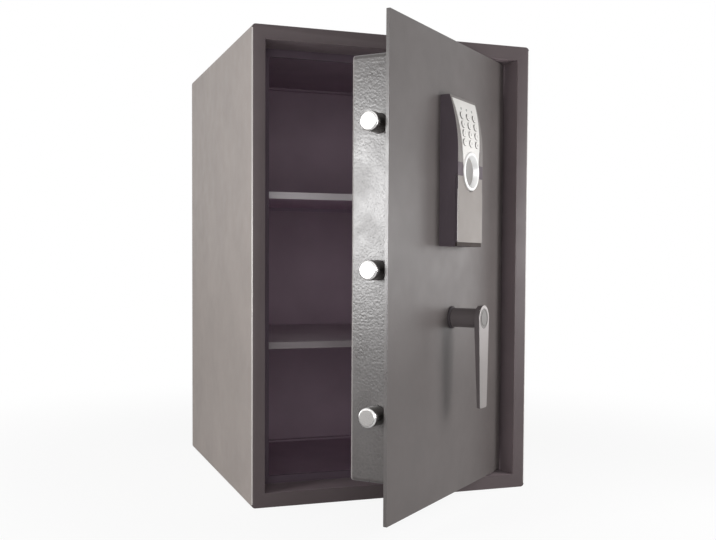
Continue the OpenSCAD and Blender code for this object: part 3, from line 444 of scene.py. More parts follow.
class Finishes:
    """Every finish of the safe, by what it covers."""

    cabinet = PowderCoat("cabinet_powder", Slot.CABINET, (0.235, 0.205, 0.19), 0.5, gloss=0.35)
    # inside: paler than the outer paint, painted light for the dim interior
    inside = PowderCoat("inside_painted_light", Slot.CABINET, (0.5, 0.385, 0.465), 0.6, gloss=0.3)
    frame = PowderCoat("frame_powder", Slot.FRAME, (0.09, 0.071, 0.074), 0.46, gloss=0.3)
    # returns: a paler copy of the frame paint, painted light that the returns catch from below
    returns = PowderCoat("returns_painted_light", Slot.FRAME, (0.25, 0.202, 0.215), 0.46, gloss=0.3)
    # inner lip: painted shade, as dark as the shadowed inside
    lip_painted_shade = PowderCoat("inner_lip_powder", Slot.FRAME, (0.115, 0.085, 0.108), 0.55, gloss=0.15)
    # outer edges: a light, glossy painted highlight
    frame_edge_highlight = PowderCoat("frame_edge_powder", Slot.FRAME, (0.4, 0.375, 0.36), 0.35, gloss=1.0)
    door = PowderCoat("door_powder", Slot.DOOR, (0.118, 0.104, 0.101), 0.4, gloss=0.35)
    door_edge = PowderCoat("door_edge_powder", Slot.DOOR, (0.075, 0.066, 0.064), 0.3, gloss=0.75)
    # shelves: a pale purple, painted light for the dim interior like the inside
    shelf = PowderCoat("shelf_powder", Slot.SHELF, (0.6, 0.53, 0.565), 0.5)
    upper_edge = PowderCoat("upper_edge_powder", Slot.SHELF, (0.6, 0.56, 0.585), 0.5)
    # the lower shelf's front edge: painted shade, darker than the upper one
    lower_edge_painted_shade = PowderCoat("lower_edge_powder", Slot.SHELF, (0.3, 0.265, 0.28), 0.5)
    # painted light under the shelves
    shelf_under_painted_light = PowderCoat("shelf_under_powder", Slot.SHELF, (0.8, 0.62, 0.76), 0.6, gloss=0.3)
    # painted shade on the shelves' rear flange
    shelf_rear_painted_shade = PowderCoat("shelf_rear_powder", Slot.SHELF, (0.43, 0.33, 0.42), 0.6, gloss=0.3)
    hammer = HammerCoat("hammered_grey", Slot.HAMMER, (0.07, 0.062, 0.06), 0.3, gloss=0.75)
    rear = PowderCoat("rear_cover_powder", Slot.FRAME, (0.2, 0.184, 0.18), 0.5)
    zinc = ZincPlate("zinc_sheet", Slot.ZINC, (0.62, 0.62, 0.64), 0.36, metal=1.0)
    screw = BrushedMetal("zinc_screw", Slot.ZINC, (0.66, 0.65, 0.63), 0.3, metal=1.0)
    brass = BrushedMetal("turned_brass", Slot.BRASS, (0.72, 0.5, 0.22), 0.28, metal=1.0)
    contact = BrushedMetal("nickel_contact", Slot.ZINC, (0.7, 0.68, 0.62), 0.3, metal=1.0)
    # bolt plating: a dark grey, painted shade of the chrome's dark reflection
    bolt = BrushedMetal(
        "bolt_plating_painted_shade", Slot.BOLT, (0.33, 0.318, 0.312), 0.3, metal=1.0, brush=Axis.ALONG_X,
        turn=OPEN_ANGLE,
    )
    # bolt rims: near white, a painted highlight
    bolt_rim_highlight = BrushedMetal("bolt_rim_highlight", Slot.BOLT, (0.9, 0.89, 0.88), 0.25, metal=1.0)
    ring = BrushedMetal(
        "ring_plating", Slot.RING, (0.8, 0.79, 0.78), 0.32, metal=0.35, lines=3000.0
    )
    # cup wall: a painted highlight, paler than the ring it belongs to
    cup = Finish("cup_wall", Slot.RING, (0.96, 0.95, 0.94), 0.42, metal=0.55)
    # head rim: bright metal, a painted highlight
    rim = Finish("handle_rim_highlight", Slot.RING, (0.9, 0.89, 0.88), 0.25, metal=1.0)
    handle = MouldedPlastic("handle_satin", Slot.HANDLE, (0.125, 0.108, 0.11), 0.4, gloss=0.25)
    # lever front: lighter than the sides, painted light on the same plastic
    handle_front_painted_light = MouldedPlastic("handle_front_painted_light", Slot.HANDLE, (0.3, 0.275, 0.27), 0.34, metal=0.3)
    cap = BrushedMetal("handle_cap", Slot.RING, (0.14, 0.13, 0.125), 0.38, metal=0.15)
    housing = MouldedPlastic("housing_plastic", Slot.DARK, (0.097, 0.077, 0.09), 0.5, gloss=0.18)
    # housing front: lighter copy of the housing plastic, painted light
    housing_front_painted_light = MouldedPlastic(
        "housing_front_painted_light", Slot.DARK, (0.18, 0.162, 0.155), 0.44, gloss=0.3
    )
    cover = MouldedPlastic("cover_plastic", Slot.COVER, (0.23, 0.205, 0.19), 0.44, gloss=0.3)
    # cover sides: painted shade, dark like the shaded housing side
    cover_side_painted_shade = MouldedPlastic("cover_side_painted_shade", Slot.COVER, (0.097, 0.077, 0.09), 0.5, gloss=0.18)
    # cover edge: near white, a painted highlight
    cover_edge_highlight = MouldedPlastic("cover_edge_highlight", Slot.COVER, (0.95, 0.92, 0.89), 0.35, metal=0.3)
    # cover's lower lip: painted shade for its downward face
    lip = MouldedPlastic("cover_lip_painted_shade", Slot.COVER, (0.045, 0.035, 0.032), 0.55, gloss=0.08)
    dish = MouldedPlastic("dish_plastic", Slot.GREY, (0.25, 0.24, 0.232), 0.36, gloss=0.35)
    silver = MouldedPlastic("silver_face", Slot.SILVER, (0.72, 0.7, 0.675), 0.4, gloss=0.4)
    key = MouldedPlastic("key_plastic", Slot.SILVER, (0.74, 0.72, 0.695), 0.4, gloss=0.4)
    # key sides: darker grey, painted shade
    key_side_painted_shade = MouldedPlastic("key_side_painted_shade", Slot.GREY, (0.33, 0.315, 0.305), 0.5, gloss=0.2)
    ink = MouldedPlastic("numeral_ink", Slot.DARK, (0.3, 0.29, 0.29), 0.5)
    lens = MouldedPlastic("light_lens", Slot.LENS, (0.36, 0.38, 0.36), 0.15, coat=0.6)
    board = BoardLacquer("board_green", Slot.BOARD, (0.02, 0.13, 0.06), 0.3)
    jacket = MouldedPlastic("cell_jacket", Slot.CELL, (0.05, 0.05, 0.06), 0.25, coat=0.4)
    # rose: darkened to the tone of the shadow round it, painted shade
    rose = MouldedPlastic("rose_painted_shade", Slot.HANDLE, (0.062, 0.053, 0.057), 0.45, gloss=0.15)


class Bench:
    """Blender's modelling operators, used as at a bench."""

    @staticmethod
    def clear() -> None:
        """Deselects everything."""
        for obj in list(bpy.context.selected_objects):
            obj.select_set(False)

    @staticmethod
    def take(obj: Piece) -> None:
        """Makes a piece the only selected and active object.

        Args:
            obj: the piece.
        """
        Bench.clear()
        obj.select_set(True)
        bpy.context.view_layer.objects.active = obj

    @staticmethod
    def settle(name: str = "") -> Piece:
        """Applies the place of the active piece to its mesh, and names both if a name is given.

        Args:
            name: the piece's name.

        Returns:
            The piece.
        """
        obj = bpy.context.active_object
        if name:
            obj.name = name
            obj.data.name = name
        Bench.take(obj)
        bpy.ops.object.transform_apply(location=True, rotation=True, scale=True)
        return obj

    @staticmethod
    def cylinder(
        name: str, centre: Point, radius: float, depth: float, sides: int, along_x: bool = False
    ) -> Piece:
        """A closed cylinder in millimetres, with caps of one face each.

        Args:
            name: the piece's name.
            centre: its middle.
            radius: its radius.
            depth: its length.
            sides: its number of sides.
            along_x: whether it lies along X, and not along Y.

        Returns:
            The new object.
        """
        quarter = math.pi / 2
        Bench.clear()
        bpy.ops.mesh.primitive_cylinder_add(
            vertices=sides,
            radius=radius * MM,
            depth=depth * MM,
            location=[c * MM for c in centre],
            rotation=(0, quarter, 0) if along_x else (quarter, 0, 0),
        )
        return Bench.settle(name)

    @staticmethod
    def box(name: str, low: Point, high: Point) -> Piece:
        """A box between two corners, in millimetres.

        Args:
            name: the piece's name.
            low: the corner with the smallest coordinates.
            high: the corner with the largest ones.

        Returns:
            The new object.
        """
        Bench.clear()
        bpy.ops.mesh.primitive_cube_add(
            size=1.0,
            location=[(a + b) / 2 * MM for a, b in zip(low, high, strict=True)],
            scale=[(b - a) * MM for a, b in zip(low, high, strict=True)],
        )
        return Bench.settle(name)

    @staticmethod
    def edit(obj: Piece, mode: str = "VERT", action: str = "SELECT") -> None:
        """Enters edit mode on a piece, with all or nothing of it selected.

        Args:
            obj: the piece.
            mode: FACE or VERT.
            action: SELECT or DESELECT.
        """
        Bench.take(obj)
        bpy.ops.object.mode_set(mode="EDIT")
        bpy.ops.mesh.select_mode(type=mode)
        bpy.ops.mesh.select_all(action=action)

    @staticmethod
    def leave() -> None:
        """Leaves edit mode."""
        bpy.ops.object.mode_set(mode="OBJECT")

    @staticmethod
    def pick(obj: Piece, test: FaceTest) -> None:
        """Enters edit mode with the faces that pass a test selected.

        Args:
            obj: the piece.
            test: takes a face's centre and normal, in metres.
        """
        Bench.edit(obj, "FACE", "DESELECT")
        Bench.leave()
        for face in obj.data.polygons:
            face.select = test(face.center, face.normal)
        bpy.ops.object.mode_set(mode="EDIT")

    @staticmethod
    def choose(obj: Piece, test: Callable[[Vector], bool]) -> None:
        """Enters edit mode with the corners that pass a test selected.

        Args:
            obj: the piece.
            test: takes a corner's place, in metres.
        """
        Bench.edit(obj, "VERT", "DESELECT")
        Bench.leave()
        for vertex in obj.data.vertices:
            vertex.select = test(vertex.co)
        bpy.ops.object.mode_set(mode="EDIT")

    @staticmethod
    def split(obj: Piece, height: float) -> None:
        """Cuts the faces of a piece at a height in millimetres, and keeps both sides.

        Args:
            obj: the piece.
            height: where it is cut.
        """
        Bench.edit(obj)
        bpy.ops.mesh.bisect(plane_co=(0, 0, height * MM), plane_no=(0, 0, 1))
        Bench.leave()

    @staticmethod
    def slide(obj: Piece, test: Callable[[Vector], bool], shift: Point) -> None:
        """Moves the corners of a piece that pass a test.

        Args:
            obj: the piece.
            test: takes a corner's place, in metres.
            shift: how far they move, in millimetres.
        """
        Bench.choose(obj, test)
        bpy.ops.transform.translate(value=[s * MM for s in shift])
        Bench.leave()

    @staticmethod
    def inset(rings: Iterable[tuple[float, float]]) -> None:
        """Insets what is selected again and again, by an inset and a rise in millimetres."""
        for inset, rise in rings:
            bpy.ops.mesh.inset(thickness=inset * MM, depth=rise * MM)

    @staticmethod
    def steps(obj: Piece, test: FaceTest, rings: Iterable[tuple[float, float]]) -> None:
        """Insets a face again and again.

        Args:
            obj: the piece.
            test: picks the face.
            rings: inset and rise of each step, in millimetres.
        """
        Bench.pick(obj, test)
        Bench.inset(rings)
        Bench.leave()

    @staticmethod
    def modify(obj: Piece, kind: str, **settings: object) -> None:
        """Adds a modifier, sets it and applies it.

        Args:
            obj: the piece.
            kind: the modifier's type.
            settings: its attributes.
        """
        Bench.take(obj)
        made = obj.modifiers.new(kind.lower(), kind)
        for key, value in settings.items():
            setattr(made, key, value)
        bpy.ops.object.modifier_apply(modifier=made.name)

    @staticmethod
    def combine(obj: Piece, tool: Piece, operation: str) -> None:
        """Adds a tool's volume to a piece (UNION) or cuts it away (DIFFERENCE)."""
        Bench.modify(obj, "BOOLEAN", operation=operation, object=tool, solver="EXACT")
        bpy.data.objects.remove(tool)

    @staticmethod
    def soften(obj: Piece, width: float, rounds: int, angle: float) -> None:
        """Rounds every edge that is sharper than an angle.

        Args:
            obj: the piece.
            width: the rounding's width in millimetres.
            rounds: segments of each rounding.
            angle: the smallest angle that is rounded, in degrees.
        """
        Bench.modify(
            obj, "BEVEL", width=width * MM, segments=rounds, limit_method="ANGLE",
            angle_limit=math.radians(angle), use_clamp_overlap=True,
        )

    @staticmethod
    def smooth(obj: Piece, angle: float = 38.0) -> None:
        """Shades the piece smooth, keeps its flat faces flat and its sharp edges sharp.

        Args:
            obj: the piece.
            angle: the smallest angle that stays sharp, in degrees.
        """
        Bench.take(obj)
        bpy.ops.object.shade_smooth_by_angle(angle=math.radians(angle))
        Bench.modify(obj, "WEIGHTED_NORMAL", mode="FACE_AREA", keep_sharp=True, weight=50)

    @staticmethod
    def outward(obj: Piece, reach: float = 1e-6) -> None:
        """Merges doubles and points every face outwards.

        Args:
            obj: the piece.
            reach: the distance within which corners are doubles, in metres.
        """
        Bench.edit(obj)
        bpy.ops.mesh.remove_doubles(threshold=reach)
        bpy.ops.mesh.normals_make_consistent(inside=False)
        Bench.leave()

    @staticmethod
    def copy(obj: Piece, name: str, shift: Point) -> Piece:
        """Copies a piece with its own mesh.

        Args:
            obj: the piece.
            name: the copy's name.
            shift: the copy's place, in millimetres.

        Returns:
            The copy.
        """
        Bench.take(obj)
        bpy.ops.object.duplicate(linked=False)
        bpy.context.active_object.location = [s * MM for s in shift]
        return Bench.settle(name)

    @staticmethod
    def join(pieces: list[Piece], name: str) -> Piece:
        """Joins pieces into one object.

        Args:
            pieces: the pieces.
            name: the object's name.

        Returns:
            The object.
        """
        Bench.take(pieces[0])
        for piece in pieces[1:]:
            piece.select_set(True)
        bpy.ops.object.join()
        return Bench.settle(name)


def dress(obj: Piece, finish: Finish) -> Piece:
    """Gives a piece one finish.

    Args:
        obj: the piece.
        finish: the finish.

    Returns:
        The piece.
    """
    obj.data.materials.clear()
    obj.data.materials.append(finish.material())
    return obj


def paint(obj: Piece, finish: Finish, test: FaceTest) -> None:
    """Gives some faces of a dressed piece another finish.

    Args:
        obj: the piece.
        finish: the other finish.
        test: takes a face's centre and normal, in metres, and picks the face.
    """
    obj.data.materials.append(finish.material())
    index = len(obj.data.materials) - 1
    for face in obj.data.polygons:
        if test(face.center, face.normal):
            face.material_index = index


@dataclass
class Dresser:
    """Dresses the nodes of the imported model."""

    frame: dict
    count: int = 0
    double: float = 0.002
    flat_angle: float = 0.8

    def worked_copy(self, node: str) -> Piece:
        """A copy of a node with its doubles merged and its flat faces joined.

        Args:
            node: the node.

        Returns:
            The copy, not yet riding on a body.
        """
        Bench.take(self.frame["nodes"][node])
        bpy.ops.object.duplicate(linked=False)
        made = bpy.context.active_object
        made.parent = None
        made.matrix_world = Matrix.Identity(4)
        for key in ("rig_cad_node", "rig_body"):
            if key in made:
                del made[key]
        made.name = f"{node}_worked"
        made.data.name = made.name
        Bench.take(made)
        if made.data.has_custom_normals:
            bpy.ops.mesh.customdata_custom_splitnormals_clear()
        Bench.edit(made)
        bpy.ops.mesh.remove_doubles(threshold=self.double * MM)
        bpy.ops.mesh.dissolve_limited(angle_limit=math.radians(self.flat_angle))
        Bench.leave()
        return made

    def dress(
        self, node: str, body: str, finish: Finish, edge: float = 0.0, rounds: int = 2,
        angle: float = 34.0,
    ) -> Piece:
        """Dresses one node.

        Args:
            node: the node.
            body: the body that it rides on.
            finish: its finish.
            edge: width of its rounded edges in millimetres, or 0 where it stays as it is.
            rounds: segments of each rounding.
            angle: the smallest angle that is rounded, in degrees.

        Returns:
            The node, or the worked copy that stands for it.
        """
        self.count += 1
        if not edge:
            return dress(self.frame["nodes"][node], finish)
        made = self.worked_copy(node)
        Bench.soften(made, edge, rounds, angle)
        Bench.smooth(made)
        dress(made, finish)
        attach(made, body)
        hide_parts(node)
        LOG.info("worked %s: %d faces", made.name, len(made.data.polygons))
        return made

    def dress_all(self, body: Body, *rows: tuple) -> None:
        """Dresses nodes of one body, each row with a node, its finish and maybe its edge."""
        for node, *look in rows:
            self.dress(node, body.value, *look)


@dataclass
class DoorSpace:
    """Where the open door holds what is modelled as if it were shut."""

    hinge_x: float = 133.0
    hinge_y: float = -200.45
    front: float = -210.0

    def facing(self) -> Vector:
        """The direction that the open door's front faces."""
        angle = math.radians(OPEN_ANGLE)
        return Vector((math.sin(angle), -math.cos(angle), 0.0))

    def along(self) -> Vector:
        """The direction along the open door, from its free edge to its hinge."""
        angle = math.radians(OPEN_ANGLE)
        return Vector((math.cos(angle), math.sin(angle), 0.0))

    def place(self, point: Point) -> Vector:
        """Where the open door holds a point, given in millimetres on the shut door."""
        return self.matrix() @ Vector([c * MM for c in point])

    def matrix(self) -> Matrix:
        """The turn about the hinge axis, in metres.

        Returns:
            The matrix from the shut door to the open one.
        """
        pivot = Vector((self.hinge_x * MM, self.hinge_y * MM, 0.0))
        turn = Matrix.Rotation(math.radians(OPEN_ANGLE), 4, "Z")
        return Matrix.Translation(pivot) @ turn @ Matrix.Translation(-pivot)

    def hang(self, obj: Piece, body: str) -> None:
        """Swings a piece open, applies its place to its mesh and lets it ride.

        Args:
            obj: the piece, modelled shut.
            body: the body that carries it.
        """
        Bench.take(obj)
        obj.matrix_world = self.matrix() @ obj.matrix_world
        Bench.settle()
        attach(obj, body)

    def rounded(self, obj: Piece, finish: Finish, *nodes: str) -> None:
        """Finishes a piece of the door: outward faces, smooth shading, finish, body and nodes.

        Args:
            obj: the piece, modelled shut.
            finish: its finish.
            nodes: the nodes that it stands for.
        """
        Bench.outward(obj)
        self.hang(obj, Body.DOOR.value)
        Bench.smooth(obj)
        dress(obj, finish)
        if nodes:
            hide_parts(*nodes)
        LOG.info("made %s: %d faces", obj.name, len(obj.data.polygons))


@dataclass
class Cabinet:
    """The cabinet: shell, back, front frame and shelves."""

    dresser: Dresser
    wall: float = 3.0
    width: float = 384.0
    depth: float = 420.0
    height: float = 600.0
    rail: float = 18.0
    lip_front: float = -158.5
    margin: float = 1.0
    wall_margin: float = 0.3
    edge_found: float = 0.12
    edge_reach: float = 1.3
    edge_round: float = 1.4
    edge_lean: float = 0.2

    def build(self) -> None:
        """Dresses every piece of the cabinet."""
        self.front_frame()
        for name in ("cabinet_shell", "back_panel"):
            self.paint_inside_light(
                self.dresser.dress(name, Body.CABINET.value, Finishes.cabinet, 0.6)
            )
        self.dresser.dress_all(
            Body.CABINET,
            ("shelf_brackets", Finishes.zinc, 0.3),
            ("hinge_pins", Finishes.screw, 0.4),
        )
        self.shelf("upper_shelf", Finishes.upper_edge)
        # the lower shelf's edge gets a darker tone: painted shade
        self.shelf("lower_shelf", Finishes.lower_edge_painted_shade)

    def shelf(self, node: str, edge: Finish) -> None:
        """Dresses a shelf: its underside is painted lighter as painted light, its rear flange
        darker as painted shade, and its front edge gets the tone given for it.

        Args:
            node: the shelf.
            edge: the finish of its front edge.
        """
        shelf = self.dresser.dress(node, Body.CABINET.value, Finishes.shelf, 0.5)
        # painted light on the underside
        paint(shelf, Finishes.shelf_under_painted_light, lambda c, n: n.z < -LEANING)
        # painted shade on the rear flange
        paint(shelf, Finishes.shelf_rear_painted_shade, lambda c, n: n.y < -LEANING and c.y > 0)
        paint(shelf, edge, lambda c, n: n.y < -LEANING and c.y < 0)

    def front_frame(self) -> None:
        """The frame, with painted light and shade: the returns painted lighter as painted light
        from below, the lip painted dark as painted shade, the outer edges painted light as a
        painted highlight.
        """
        frame = self.dresser.dress("front_frame", Body.CABINET.value, Finishes.frame, 0.9, 3)
        for way in (-1, 1):
            self.widen_edge(frame, way)
        low, high = (self.rail - self.margin) * MM, (self.height - self.rail + self.margin) * MM
        lip = (self.lip_front - self.margin) * MM
        side = (self.width / 2 - self.edge_round) * MM

        def on_return_painted_light(centre: Vector, normal: Vector) -> bool:
            """Tells the faces of the returns, which lie square to the opening and get painted
            light.
            """
            square = abs(normal.z) > STRAIGHT or abs(normal.x) > STRAIGHT
            return low < centre.z < high and square and centre.y < lip

        def on_highlight_edge(centre: Vector, normal: Vector) -> bool:
            """Tells the faces of the outer edges, which lean between the front and a side and get
            a painted highlight.
            """
            lean = self.edge_lean
            return abs(centre.x) > side and abs(normal.x) > lean and normal.y < -lean

        # painted light on the returns
        paint(frame, Finishes.returns, on_return_painted_light)
        # painted shade on the front of the inner lip
        paint(frame, Finishes.lip_painted_shade, lambda c, n: low < c.z < high and c.y > lip)
        # painted highlight on the rounded outer edges
        paint(frame, Finishes.frame_edge_highlight, on_highlight_edge)

    def widen_edge(self, frame: Piece, way: int) -> None:
        """Widens the rounding of an upright outer edge, which the frame's holes had held small.

        Args:
            frame: the frame, with its rounded edges.
            way: -1 for the left edge, 1 for the right one.
        """
        corner = Vector((way * self.width / 2 * MM, -self.depth / 2 * MM, 0.0))
        reach = self.edge_found * self.edge_reach * MM
        Bench.choose(frame, lambda p: (p.xy - corner.xy).length < reach)
        wider = self.edge_round / self.edge_found
        bpy.ops.transform.resize(value=(wider, wider, 1), center_override=corner)
        Bench.leave()

    def paint_inside_light(self, wall: Piece) -> None:
        """Gives the inner faces of a wall the inside's finish, a pale purple that is painted
        light: it stands in for the dim light inside.

        Args:
            wall: the shell or the back panel.
        """
        inset = self.wall - self.wall_margin
        half, back = (self.width / 2 - inset) * MM, (self.depth / 2 - self.wall_margin) * MM
        low, high = inset * MM, (self.height - inset) * MM
        # painted light: the inner faces get the paler inside paint
        paint(
            wall,
            Finishes.inside,
            lambda c, n: abs(c.x) < half and low < c.z < high and c.y < back,
        )


@dataclass(frozen=True)
class CrossScrew:
    """A pan head screw with a cross recess, its head towards +Y from the origin."""

    head_radius: float = 3.5
    head_height: float = 1.8
    shank_radius: float = 1.9
    shank: float = 5.4
    sides: int = 24
    seam: float = 0.001
    near: float = 0.1
    crown: tuple[tuple[float, float], ...] = ((0.28, 0.35), (0.5, 0.2))
    wall: float = 0.45
    arm_half: float = 0.35
    arm_reach: float = 0.55

    def build(self, name: str) -> Piece:
        """Models the screw.

        Args:
            name: the piece's name.

        Returns:
            The screw.
        """
        middle = (0, -self.shank / 2, 0)
        screw = Bench.cylinder(name, middle, self.shank_radius, self.shank, self.sides)
        Bench.steps(screw, lambda c, n: n.y > STRAIGHT, [(self.seam, 0.0)])
        Bench.pick(screw, lambda c, n: n.y > STRAIGHT and c.length < self.near * MM)
        grow, tall = self.head_radius / self.shank_radius, self.head_height
        bpy.ops.transform.resize(value=(grow, 1, grow))
        flare = self.head_radius - self.shank_radius
        rings = [(flare * inset, tall * rise) for inset, rise in self.crown]
        Bench.inset([(self.seam, tall * self.wall), *rings])
        Bench.leave()
        reach = self.head_radius * self.arm_reach
        for x, z in ((reach, self.arm_half), (self.arm_half, reach)):
            arm = Bench.box("recess", (-x, tall / 2, -z), (x, 2 * tall, z))
            Bench.combine(screw, arm, "DIFFERENCE")
        return screw


@dataclass
class DoorLeaf:
    """The door: plate, lock box, rear cover, hinge blocks and what is inside."""

    dresser: Dresser
    space: DoorSpace
    middle: float = 300.0
    box_half: float = 268.0
    end_inner: float = 248.0
    end_outer: float = 271.0
    set_back: float = 31.5
    screw_xs: tuple[float, ...] = (-152.5, 0.0, 152.5)
    screw_edge: float = 6.0
    cover_depth: float = 51.0

    def build(self) -> None:
        """Dresses the door and adds its screws."""
        body = Body.DOOR
        along = self.space.along()
        plate = self.dresser.dress("door_plate", body.value, Finishes.door, 0.7)
        paint(plate, Finishes.door_edge, lambda c, n: n.dot(along) < -STRAIGHT)
        self.dresser.dress_all(
            body,
            ("hinge_bushes", Finishes.brass, 0.25),
            ("bolt_guides", Finishes.zinc, 0.4),
            ("carrier_studs", Finishes.screw),
            ("stud_clips", Finishes.screw),
            ("spindle_bush", Finishes.brass),
            ("solenoid", Finishes.zinc),
            ("control_board", Finishes.board),
            ("board_standoffs", Finishes.screw),
            # the rose's dark finish is painted shade
            ("handle_rose", Finishes.rose, 0.3),
        )
        for node, finish, edge in (
            ("lock_box", Finishes.hammer, 0.8),
            ("rear_cover", Finishes.rear, 0.4),
            ("hinge_blocks", Finishes.zinc, 0.5),
        ):
            self.draw_in(self.dresser.dress(node, body.value, finish, edge))
        self.screws()

    def draw_in(self, piece: Piece) -> None:
        """Draws the ends of the lock box, and what meets them, in to where the real box ends.

        Args:
            piece: the piece.
        """
        for way in (-1, 1):

            def at_end(place: Vector, way: int = way) -> bool:
                """Tells the corners at this end of the lock box."""
                return self.end_inner < way * (place.z / MM - self.middle) < self.end_outer

            Bench.slide(piece, at_end, (0, 0, -way * self.set_back))

    def screws(self) -> None:
        """Pan head screws with cross recesses round the rear cover."""
        reach = self.box_half - self.set_back - self.screw_edge
        rows = (self.middle - reach, self.middle, self.middle + reach)
        places = [(x, z) for x in self.screw_xs for z in rows if (x, z) != (0.0, self.middle)]
        depth = self.space.front + self.cover_depth
        first = CrossScrew().build("cover_screw")
        made = [
            Bench.copy(first, f"cover_screw_{index}", (x, depth, z))
            for index, (x, z) in enumerate(places)
        ]
        bpy.data.objects.remove(first)
        joined = Bench.join(made, "cover_screw_set")
        self.space.rounded(joined, Finishes.screw, "cover_screws")


@dataclass
class BoltWork:
    """Bolts, their carrier, the solenoid's plunger and spring."""

    dresser: Dresser
    space: DoorSpace
    rim_from: float = -0.95
    rim_to: float = -0.2

    def build(self) -> None:
        """Dresses the moving lock work; the bolts' plating is painted dark grey as painted shade
        of a dark reflection, and their rounded rims near white as a painted highlight.
        """
        along = self.space.along()
        for name in ("upper_bolt", "middle_bolt", "lower_bolt"):
            bolt = self.dresser.dress(name, Body.BOLTS.value, Finishes.bolt, 0.7, 4)
            # painted highlight on the rounded rims
            paint(bolt, Finishes.bolt_rim_highlight, lambda c, n: self.rim_from < n.dot(along) < self.rim_to)
        self.dresser.dress_all(
            Body.BOLTS, ("bolt_carrier", Finishes.zinc), ("bolt_nuts", Finishes.screw)
        )
        self.dresser.dress_all(
            Body.PLUNGER,
            ("solenoid_plunger", Finishes.screw),
            ("plunger_spring", Finishes.screw),
        )


@dataclass
class Handle:
    """The lever handle with its spindle and crank."""

    dresser: Dresser
    space: DoorSpace
    axis_z: float = 241.0
    head_radius: float = 15.75
    front_from: float = 0.8
    rim_from: float = 0.15
    rim_to: float = 0.97

    def build(self) -> None:
        """Dresses the handle: the front is painted lighter and the sides darker, as painted light
        and shade on one plastic, and the rim round the head is painted bright as a painted
        highlight.
        """
        facing = self.space.facing()
        low = (self.axis_z - self.head_radius) * MM
        lever = self.dresser.dress("handle_lever", Body.HANDLE.value, Finishes.handle, 1.8, 5)
        # painted light on the front; the darker sides are painted shade
        paint(lever, Finishes.handle_front_painted_light, lambda c, n: n.dot(facing) > self.front_from)
        # painted highlight on the head's rounded rim
        paint(
            lever,
            Finishes.rim,
            lambda c, n: self.rim_from < n.dot(facing) < self.rim_to and c.z > low,
        )
        self.dresser.dress_all(
            Body.HANDLE,
            ("handle_cap", Finishes.cap, 0.2),
            ("spindle", Finishes.screw),
            ("drive_crank", Finishes.screw),
            ("crank_clip", Finishes.screw),
        )


